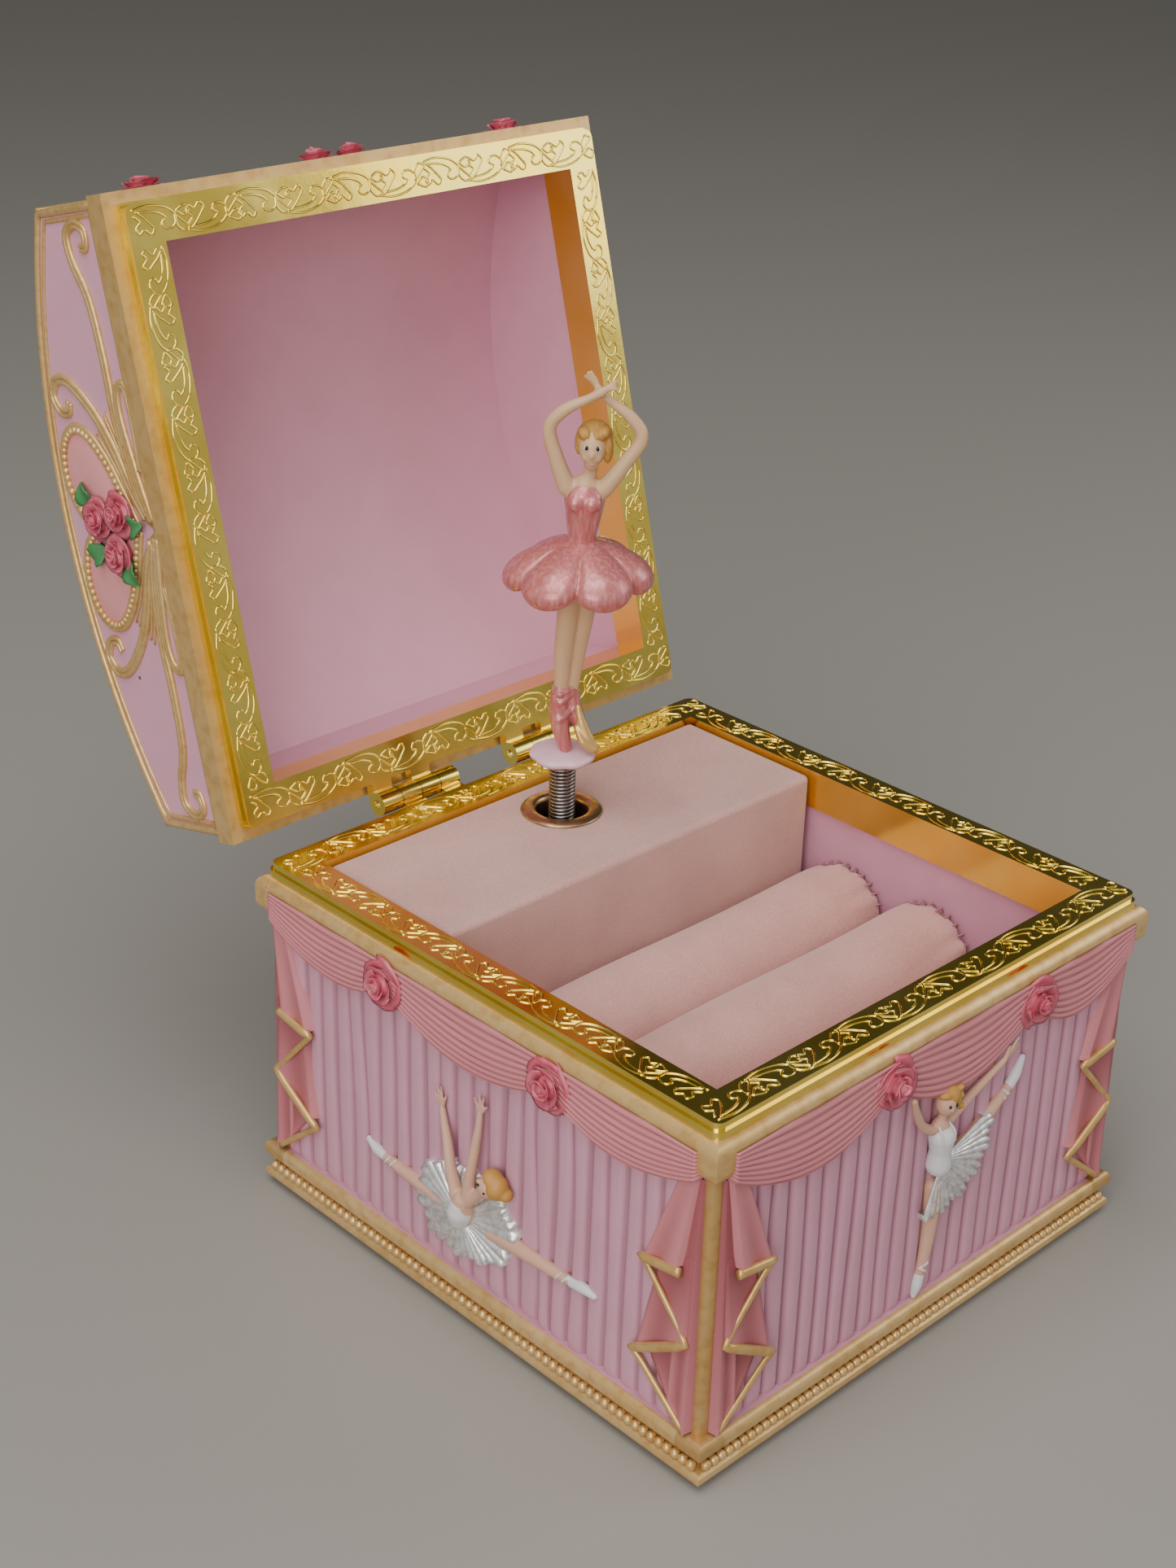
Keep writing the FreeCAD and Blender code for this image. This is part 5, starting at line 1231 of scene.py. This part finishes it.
def fused(shells, voxel=FUSE, rounds=4):
    """Overlapping closed shells joined into one smooth skin, as (points, faces)."""
    mesh = bpy.data.meshes.new("shells")
    points, faces = gathered(shells)
    mesh.from_pydata([tuple(point) for point in points], [], faces)
    holder = placed("shells", mesh)
    skin = holder.modifiers.new("skin", "REMESH")
    skin.mode = "VOXEL"
    skin.voxel_size = voxel
    soft = holder.modifiers.new("soft", "SMOOTH")
    soft.factor = 0.5
    soft.iterations = rounds
    bpy.context.view_layer.update()
    shape = baked(holder)
    bpy.data.objects.remove(holder)
    return shape


def in_place(points):
    """The dancer's own frame, facing -Y about her middle, turned to where she faces at rest."""
    spin = np.array(Matrix.Rotation(FACING, 3, "Z"))
    return np.asarray(points, float) @ spin.T + (0, SPINDLE_BACK, 0)


def figure_piece(name, shape, material, mend=False):
    """A piece of the dancer, given in her own frame."""
    return mesh_piece(name, shape, material, "dancer", in_place, mend)


flesh = paint_finish("flesh_paint", (0.62, 0.405, 0.235, 1), (0.44, 0.25, 0.12, 1), roughness=0.42,
                     relief=(0.02, 0.3), Subsurface_Weight=0.12, Subsurface_Scale=0.002)
pearl_pink = streaked("pearl_pink", 0.25, (1.0, 4.0), (0.35, 0.75), (0.50, 0.135, 0.135, 1),
                      (0.64, 0.265, 0.265, 1), (0.3, 0.7, 0.36, 0.24), (0.04, 0.4), (1400, 1400, 220),
                      Coat_Weight=0.35, Coat_Roughness=0.25)[0]
hair_ochre = paint_finish("hair_ochre", (0.48, 0.25, 0.05, 1), (0.26, 0.12, 0.02, 1))
stand_pink = paint_finish("stand_pink", (0.76, 0.50, 0.58, 1), (0.58, 0.34, 0.42, 1), roughness=0.35)
eye_black = paint_finish("eye_black", (0.01, 0.008, 0.008, 1), (0.0, 0.0, 0.0, 1), roughness=0.2)
eye_white = paint_finish("eye_white", (0.80, 0.76, 0.72, 1), (0.6, 0.5, 0.45, 1), roughness=0.3)
lip_pink = paint_finish("lip_pink", (0.56, 0.25, 0.18, 1), (0.4, 0.15, 0.11, 1))
shoe_gold = gold_finish("shoe_gold", 0.3, 1.4)

left_arm = ((-0.5, 0, 135.2), (-2.4, -0.2, 140.6), (-3.7, -0.3, 146.0), (-1.2, -0.8, 149.6),
            (3.2, -1.2, 152.0), (5.4, -1.3, 153.3))
right_arm = ((6.2, 0, 135.0), (9.5, 0, 139.4), (12.7, 0, 144.6), (10.8, 0.2, 148.2), (6.9, 0.4, 151.2),
             (4.9, 0.4, 153.0))
arm_radii = (1.75, 1.45, 1.25, 1.2, 0.82, 0.95)
body_shells = [
    limb(((1.9, 0.1, 119), (2.2, 0, 122), (2.5, 0, 125.6), (2.7, 0, 130), (2.9, 0, 133.4), (3.0, 0, 135.2)),
         (4.0, 3.5, 2.3, 3.0, 3.7, 2.6), 30, 20, 0.78),
    limb(((-0.3, 0.1, 134.9), (3.0, 0.1, 135.6), (6.1, 0.1, 134.9)), (1.5, 1.7, 1.5)),
    limb(((3.1, 0, 135), (3.6, -0.1, 137.4), (3.9, -0.2, 139.6)), (1.6, 1.2, 1.3)),
    ball((4.0, -0.3, 142.9), (2.55, 2.95, 3.5)), ball((3.95, -1.3, 140.0), (1.25, 1.3, 1.15)),
    ball((3.95, -3.2, 142.1), (0.32, 0.5, 0.62)), ball((3.95, -2.3, 140.6), (0.85, 0.7, 0.5)),
    ball((2.9, -2.2, 141.5), (0.8, 0.7, 0.8)), ball((5.0, -2.2, 141.5), (0.8, 0.7, 0.8)),
    limb(left_arm, arm_radii, 40), limb(right_arm, arm_radii, 40),
    limb(((1.0, -0.4, 120), (0.3, -0.6, 111), (-0.4, -0.5, 103), (-0.7, -0.3, 94)), (2.6, 2.0, 1.75, 1.15)),
    limb(((3.2, 0.6, 120), (3.5, 0.9, 112), (2.3, 1.0, 103), (1.3, 0.8, 94)), (2.6, 1.95, 1.6, 1.1)),
]
for start, tips in ((left_arm[-1], ((8.2, -1.3, 155.5), (8.3, -1.0, 154.6), (8.0, -1.7, 153.9))),
                    (right_arm[-1], ((2.6, 0.4, 156.4), (3.4, 0.1, 156.6), (2.2, 0.7, 155.5)))):
    for tip in tips:
        middle = tuple((a + b) / 2 + bow for a, b, bow in zip(start, tip, (0.1, 0, 0.25)))
        body_shells.append(limb((start, middle, tip), (0.55, 0.42, 0.26), 10, 10))
figure = figure_piece("dancer_body", fused(body_shells), flesh)
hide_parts("dancer_figure")

bodice_shells = [
    limb(((2.4, 0, 124.0), (2.5, 0, 125.8), (2.7, 0, 129.6), (2.85, -0.1, 132.9)), (2.75, 2.5, 3.2, 3.75),
         24, 20, 0.82),
    ball((1.35, -2.15, 132.9), (1.75, 1.45, 1.55)), ball((4.3, -2.15, 132.8), (1.75, 1.45, 1.55)),
]
figure_piece("dancer_bodice", fused(bodice_shells, FINE_FUSE, 3), pearl_pink)

# The skirt: puffed petals round the hips, cut deep between one another and turned under.
turn = np.linspace(0, 2 * np.pi, 144, endpoint=False)
lobe = np.abs(np.cos(turn * PETALS / 2)) ** 0.6
rings = []
for reach, height, share in SKIRT:
    cut = 1 - share * 0.17 * (1 - lobe)
    drop = share * (1 - lobe) * np.clip((120.5 - height) / 5, -0.4, 1) * 2.6
    puff = share * 0.6 * lobe * np.sin(np.clip((height - 115) / 9, 0, 1) * np.pi)
    wide = 1.05 * (reach + puff) * cut
    lean = 2.0 + 0.5 * (height - 118) / 7
    rings.append(np.stack([lean + wide * np.cos(turn), wide * np.sin(turn), height + drop], -1))
subdivided(figure_piece("dancer_skirt", lofted(rings), pearl_pink, mend=True))

hair_shells = [
    ball((4.3, 1.1, 144.2), (3.35, 3.1, 3.3)), ball((2.7, -0.7, 145.4), (1.6, 1.9, 1.25), (0, 34, 0)),
    ball((5.4, -0.7, 145.5), (1.95, 2.05, 1.25), (0, -28, 0)), ball((6.75, 0.3, 142.6), (1.0, 1.9, 2.9)),
    ball((1.65, 0.6, 143.4), (0.85, 1.6, 2.3)), ball((4.4, 3.8, 142.4), (1.9, 1.6, 1.8)),
]
points, faces = fused(hair_shells, FINE_FUSE, 3)
swirl = np.sin(5.5 * (points[:, 0] - 4) + 2.2 * points[:, 2]) * np.clip(points[:, 2] - 140, 0, 1)
points[:, 1] -= 0.16 * swirl
figure_piece("dancer_hair", (points, faces), hair_ochre)

eyes = [ball((x, -2.9, z), (0.36, 0.3, 0.42)) for x, z in ((3.0, 143.45), (4.95, 143.35))]
whites = [ball((x, -2.76, z), (0.56, 0.25, 0.42)) for x, z in ((3.0, 143.4), (4.95, 143.3))]
lips = [limb(((3.3, -2.95, 140.55), (3.95, -3.22, 140.4), (4.6, -2.95, 140.55)), (0.12, 0.24, 0.12), 10, 8),
        limb(((3.45, -2.95, 140.75), (3.95, -3.2, 140.72), (4.5, -2.95, 140.75)), (0.1, 0.18, 0.1), 10, 8)]
for name, parts, paint in (("dancer_eyes", eyes, eye_black), ("dancer_eye_whites", whites, eye_white),
                           ("dancer_lips", lips, lip_pink)):
    figure_piece(name, gathered(parts), paint)

shoe_shells = [
    limb(((-0.7, -0.3, 96.2), (-1.0, -0.4, 92.6), (-0.6, -1.0, 88.4), (0.4, -1.8, 84.6)),
         (1.4, 1.7, 1.8, 1.3), 26),
    limb(((-2.2, -0.9, 94.4), (-0.6, -2.0, 93.6), (1.2, -0.9, 94.8)), (0.45, 0.55, 0.45), 14),
    limb(((1.2, -0.7, 95.8), (-0.8, -2.0, 95.2), (-2.1, 0.2, 96.0)), (0.4, 0.5, 0.4), 14),
    limb(((1.3, 0.8, 95.6), (2.0, 0.5, 92.0), (3.2, -0.2, 88.0), (4.4, -0.8, 85.0)),
         (1.25, 1.35, 1.4, 1.1), 26),
    limb(((1.6, -0.8, 91.6), (-0.8, -2.5, 90.2), (-2.6, -0.8, 91.0)), (0.35, 0.45, 0.35), 14),
]
figure_piece("dancer_shoes", fused(shoe_shells, 0.28, 3), pearl_pink)
gilt_shells = [
    limb(((2.6, -1.0, 92.6), (3.4, -1.6, 89.4), (4.6, -2.1, 86.4), (6.0, -2.4, 84.3)),
         (0.5, 1.0, 1.25, 0.9), 22, 12, 0.7),
    limb(((2.4, -1.8, 88.6), (3.6, -2.6, 86.2), (5.6, -3.0, 84.4)), (0.5, 0.8, 0.6), 18),
]
figure_piece("dancer_shoe_gilding", fused(gilt_shells, 0.26, 3), shoe_gold)

turn = np.linspace(0, 2 * np.pi, 96, endpoint=False)
edge = 1 - 0.07 * (1 - np.abs(np.sin(turn * 2.5 + 0.4)) ** 0.6) - 0.02 * np.sin(turn * 7)
rings = [np.stack([reach * edge * np.cos(turn), reach * edge * np.sin(turn), np.full(96, height)], -1)
         for reach, height in DISC]
stand = figure_piece("dancer_disc", gathered([lofted(rings), lathe(STUB, 24)]), stand_pink,
                     mend=True)
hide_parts("dancer_stand")


# Relief dancers: each wall carries a dancer cast apart, flat at the back, and glued on the curtain.
# The side walls have one in a split with her arms up, and the front and back have one on her toes.

RELIEF_FUSE = 0.26
ARM_RADII = (1.25, 1.05, 0.95, 0.72, 0.58)
THIN_ARM = (1.0, 0.9, 0.75, 0.6)
LACE = (0.24, 0.27, 0.24)
silver = streaked("silver_paint", 0.75, (900.0, 4.0), (0.35, 0.65), (0.62, 0.62, 0.63, 1),
                  (0.93, 0.93, 0.94, 1), (0.3, 0.7, 0.45, 0.25), (0.08, 0.6))[0]
bodice_white = paint_finish("bodice_white", (0.66, 0.66, 0.68, 1), (0.45, 0.45, 0.48, 1), roughness=0.35)
relief_flesh = paint_finish("relief_flesh", (0.60, 0.36, 0.26, 1), (0.40, 0.20, 0.13, 1))


def fan(centre, start, end, reach, pleats, lift, droop):
    """A pleated skirt seen from its side, as (points, faces), in (along, -rise, height)."""
    whole = end - start > 359
    count = pleats * 8
    angle = np.radians(np.linspace(start, end, count + (0 if whole else 1), endpoint=not whole))[None, :]
    share = np.concatenate([np.linspace(0.04, 1, 12), [1.0]])[:, None]
    turn = np.linspace(0, pleats, angle.shape[1], endpoint=not whole)[None, :]
    ridge = np.abs(np.sin(np.pi * turn))
    far = reach(angle) * (1 - 0.07 * (1 - ridge) + 0.05 * np.sin(turn * 2.1))
    out = lift + droop * share ** 1.5 + 0.62 * (ridge - 0.5) * share ** 0.8
    out[-1:] = 0.3
    points = np.stack([centre[0] + far * share * np.cos(angle), -out + 0 * angle,
                       centre[1] + far * share * np.sin(angle)], -1)
    return points.reshape(-1, 3), grid_faces(len(share), angle.shape[1], closed=whole)


def hand(start, tips):
    """The fingers of a small open hand."""
    return [limb((start, tip), (0.42, 0.24), 8, 8) for tip in tips]


# Each dancer's parts, as shells in (along, -rise, height). The skirt is open and is not fused.
split = {
    "flesh": [
        limb(((0.4, -3.6, 24.6), (0.8, -4.3, 27.0), (1.2, -4.5, 28.8)), (2.1, 2.2, 1.8)),
        limb(((-0.4, -4.4, 28.8), (-2.2, -4.2, 33.6), (-3.6, -3.6, 37.4), (-5.2, -3.0, 41.0),
              (-6.2, -2.6, 43.4)), ARM_RADII, 30),
        limb(((2.2, -4.4, 29.0), (2.9, -4.2, 34.6), (3.3, -3.6, 39.6), (3.6, -3.0, 44.0),
              (3.6, -2.6, 47.0)), ARM_RADII, 30),
        limb(((2.6, -4.2, 29.4), (4.9, -4.2, 31.8), (6.4, -4.1, 33.6)), (1.3, 1.0, 1.1)),
        ball((7.6, -4.1, 34.8), (2.1, 2.0, 2.5), (0, 40, 0)), ball((6.5, -5.5, 36.2), (0.35, 0.5, 0.35)),
        limb(((-6, -1.8, 23.2), (-13, -1.8, 23.4), (-19, -1.8, 23.6), (-24.0, -1.7, 24.0)),
             (1.6, 1.4, 1.15, 0.8), 30),
        limb(((6, -1.8, 23.4), (14, -1.8, 23.8), (21, -1.8, 24.0), (27.0, -1.7, 24.3)),
             (1.6, 1.45, 1.2, 0.8), 30),
        *hand((-6.2, -2.6, 43.4),
              ((-8.4, -2.6, 46.0), (-7.6, -2.4, 47.0), (-6.6, -2.5, 47.4), (-5.2, -2.6, 46.2))),
        *hand((3.6, -2.6, 47.0),
              ((2.2, -2.6, 49.6), (3.2, -2.4, 50.6), (4.4, -2.5, 50.6), (5.3, -2.6, 49.2))),
    ],
    "hair": [ball((9.3, -3.8, 35.4), (2.1, 2.1, 2.3)), ball((8.4, -3.8, 36.8), (2.0, 1.9, 1.2), (0, 30, 0)),
             ball((11.0, -3.2, 34.4), (1.2, 1.3, 1.2))],
    "bodice": [limb(((0.0, -3.9, 24.2), (0.6, -4.5, 26.2), (0.9, -4.7, 27.6)), (2.2, 2.35, 1.9)),
               limb(((-1.5, -5.2, 25.4), (0.0, -5.9, 24.4), (1.9, -5.2, 25.0)), (0.4, 0.45, 0.4), 14)],
    "shoes": [limb(((-23.2, -1.7, 23.9), (-25.4, -1.7, 24.3), (-27.8, -1.6, 25.2)), (1.0, 1.05, 0.6)),
              limb(((26.2, -1.7, 24.2), (28.6, -1.7, 24.5), (31.4, -1.6, 24.2)), (1.0, 1.05, 0.6)),
              *[limb(((x - 0.7, -2.1, z - 1.1), (x, -2.8, z), (x + 0.7, -2.1, z + 1.1)), LACE, 9, 8)
                for x, z in ((23.2, 24.1), (24.8, 24.2), (-20.4, 23.7), (-21.8, 23.8))]],
    "skirt": fan((-0.6, 24.0), 0, 360, lambda a: 12.9 - 3.4 * np.sin(a - 0.25) ** 2, 30, 3.5, -0.9),
    "eyes": [ball((6.8, -5.8, 35.6), (0.3, 0.25, 0.3)), ball((8.3, -5.85, 34.7), (0.28, 0.25, 0.3))],
    "straps": [],
}
toes = {
    "flesh": [
        limb(((1.2, -1.6, 33), (1.4, -1.6, 25.2), (0.8, -1.6, 18.2), (-0.5, -1.6, 12.6)),
             (1.7, 1.5, 1.15, 0.85), 30),
        limb(((6, -1.7, 37.2), (12, -1.8, 40.0), (17, -1.8, 42.9), (21.6, -1.8, 45.9)),
             (1.5, 1.3, 1.1, 0.8), 30),
        limb(((0.8, -2.3, 38), (0.6, -2.5, 41), (0.3, -2.7, 44), (0.2, -2.5, 46.6)),
             (2.1, 1.75, 2.2, 1.6), 26),
        limb(((-1.9, -2.4, 46.3), (0.2, -2.5, 47.0), (2.3, -2.4, 46.2)), (0.95, 1.1, 0.95)),
        limb(((0.2, -2.5, 46.8), (0.2, -2.8, 48.4), (0.3, -3.0, 49.8)), (1.0, 0.85, 1.0)),
        ball((0.2, -3.2, 51.2), (1.9, 1.9, 2.35), (0, -14, 0)), ball((-0.3, -5.0, 50.8), (0.3, 0.42, 0.42)),
        limb(((-2.1, -2.4, 46.3), (-5.0, -2.6, 48.6), (-7.4, -3.0, 52.2), (-9.4, -3.6, 56)),
             (1.0, 0.85, 0.75, 0.6), 26),
        limb(((2.5, -2.4, 46.3), (7.6, -2.4, 48.6), (12.2, -2.9, 51.2), (15.6, -3.5, 53.4)), THIN_ARM, 26),
        *hand((15.6, -3.5, 53.4),
              ((18.9, -3.7, 56.6), (19.3, -3.6, 55.4), (19.0, -3.6, 54.4), (16.6, -3.7, 55.9))),
    ],
    "hair": [ball((1.0, -2.9, 52.6), (2.1, 2.1, 2.1)), ball((2.3, -2.9, 51.2), (1.3, 1.8, 1.9)),
             ball((-0.6, -3.1, 53.4), (1.4, 1.6, 0.9)),
             *[ball((2.9 + 0.6 * math.cos(k), -3.7 - 0.5 * math.sin(1.7 * k), 49.4 + 0.56 * k),
                    (0.6, 0.65, 0.56)) for k in range(9)]],
    "bodice": [limb(((0.8, -2.5, 38.2), (0.6, -2.8, 41.2), (0.3, -3.0, 44.4)), (2.35, 2.0, 2.45), 24)],
    "shoes": [limb(((-0.1, -1.6, 14.2), (-0.6, -1.7, 12.2), (-1.0, -1.6, 10.2)), (1.05, 1.05, 0.6)),
              limb(((20.6, -1.8, 45.2), (22.2, -1.8, 47.0), (23.8, -1.7, 49.6)), (1.0, 1.05, 0.6)),
              *[limb(((x - 1.0, -2.0, z + s), (x, -2.75, z), (x + 1.0, -2.0, z - s)), LACE, 9, 8)
                for x, z, s in ((0.1, 15.6, 0.6), (0.4, 17.0, -0.6), (19.4, 44.4, 0.9), (18.4, 43.8, -0.4))]],
    "skirt": fan((0.7, 39.4), -104, 16, lambda a: 13.2 + 1.2 * np.cos(a * 2.0 + 0.4), 17, 3.3, -0.3),
    "eyes": [ball((-0.7, -4.85, 51.6), (0.28, 0.25, 0.32)), ball((0.9, -4.95, 51.4), (0.34, 0.25, 0.38))],
    "straps": [limb(((-1.3, -4.8, 43.8), (-1.5, -4.5, 45.6), (-1.2, -3.4, 47.0)), (0.23, 0.23, 0.23), 10, 8),
               limb(((1.7, -4.8, 43.8), (1.8, -4.5, 45.6), (1.4, -3.4, 47.0)), (0.23, 0.23, 0.23), 10, 8)],
}
RELIEF_PAINTS = {"flesh": relief_flesh, "hair": hair_ochre, "bodice": bodice_white, "shoes": bodice_white,
                 "skirt": silver, "eyes": eye_black, "straps": bodice_white}
for shape in (split, toes):
    for part in ("flesh", "hair", "bodice", "shoes"):
        shape[part] = fused(shape[part], RELIEF_FUSE, 2)
    for part in ("eyes", "straps"):
        shape[part] = shape[part] and gathered(shape[part])
for wall, shape in zip(WALLS, (split, split, toes, toes)):
    pieces = [mesh_piece(f"wall_dancer_{wall.name}_{part}", shape[part], paint, "root",
                         lambda points: on_wall(wall, points[:, 0], points[:, 2], -points[:, 1]), mend=True)
              for part, paint in RELIEF_PAINTS.items() if shape[part]]
    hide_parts(f"relief_dancer_{wall.name}")
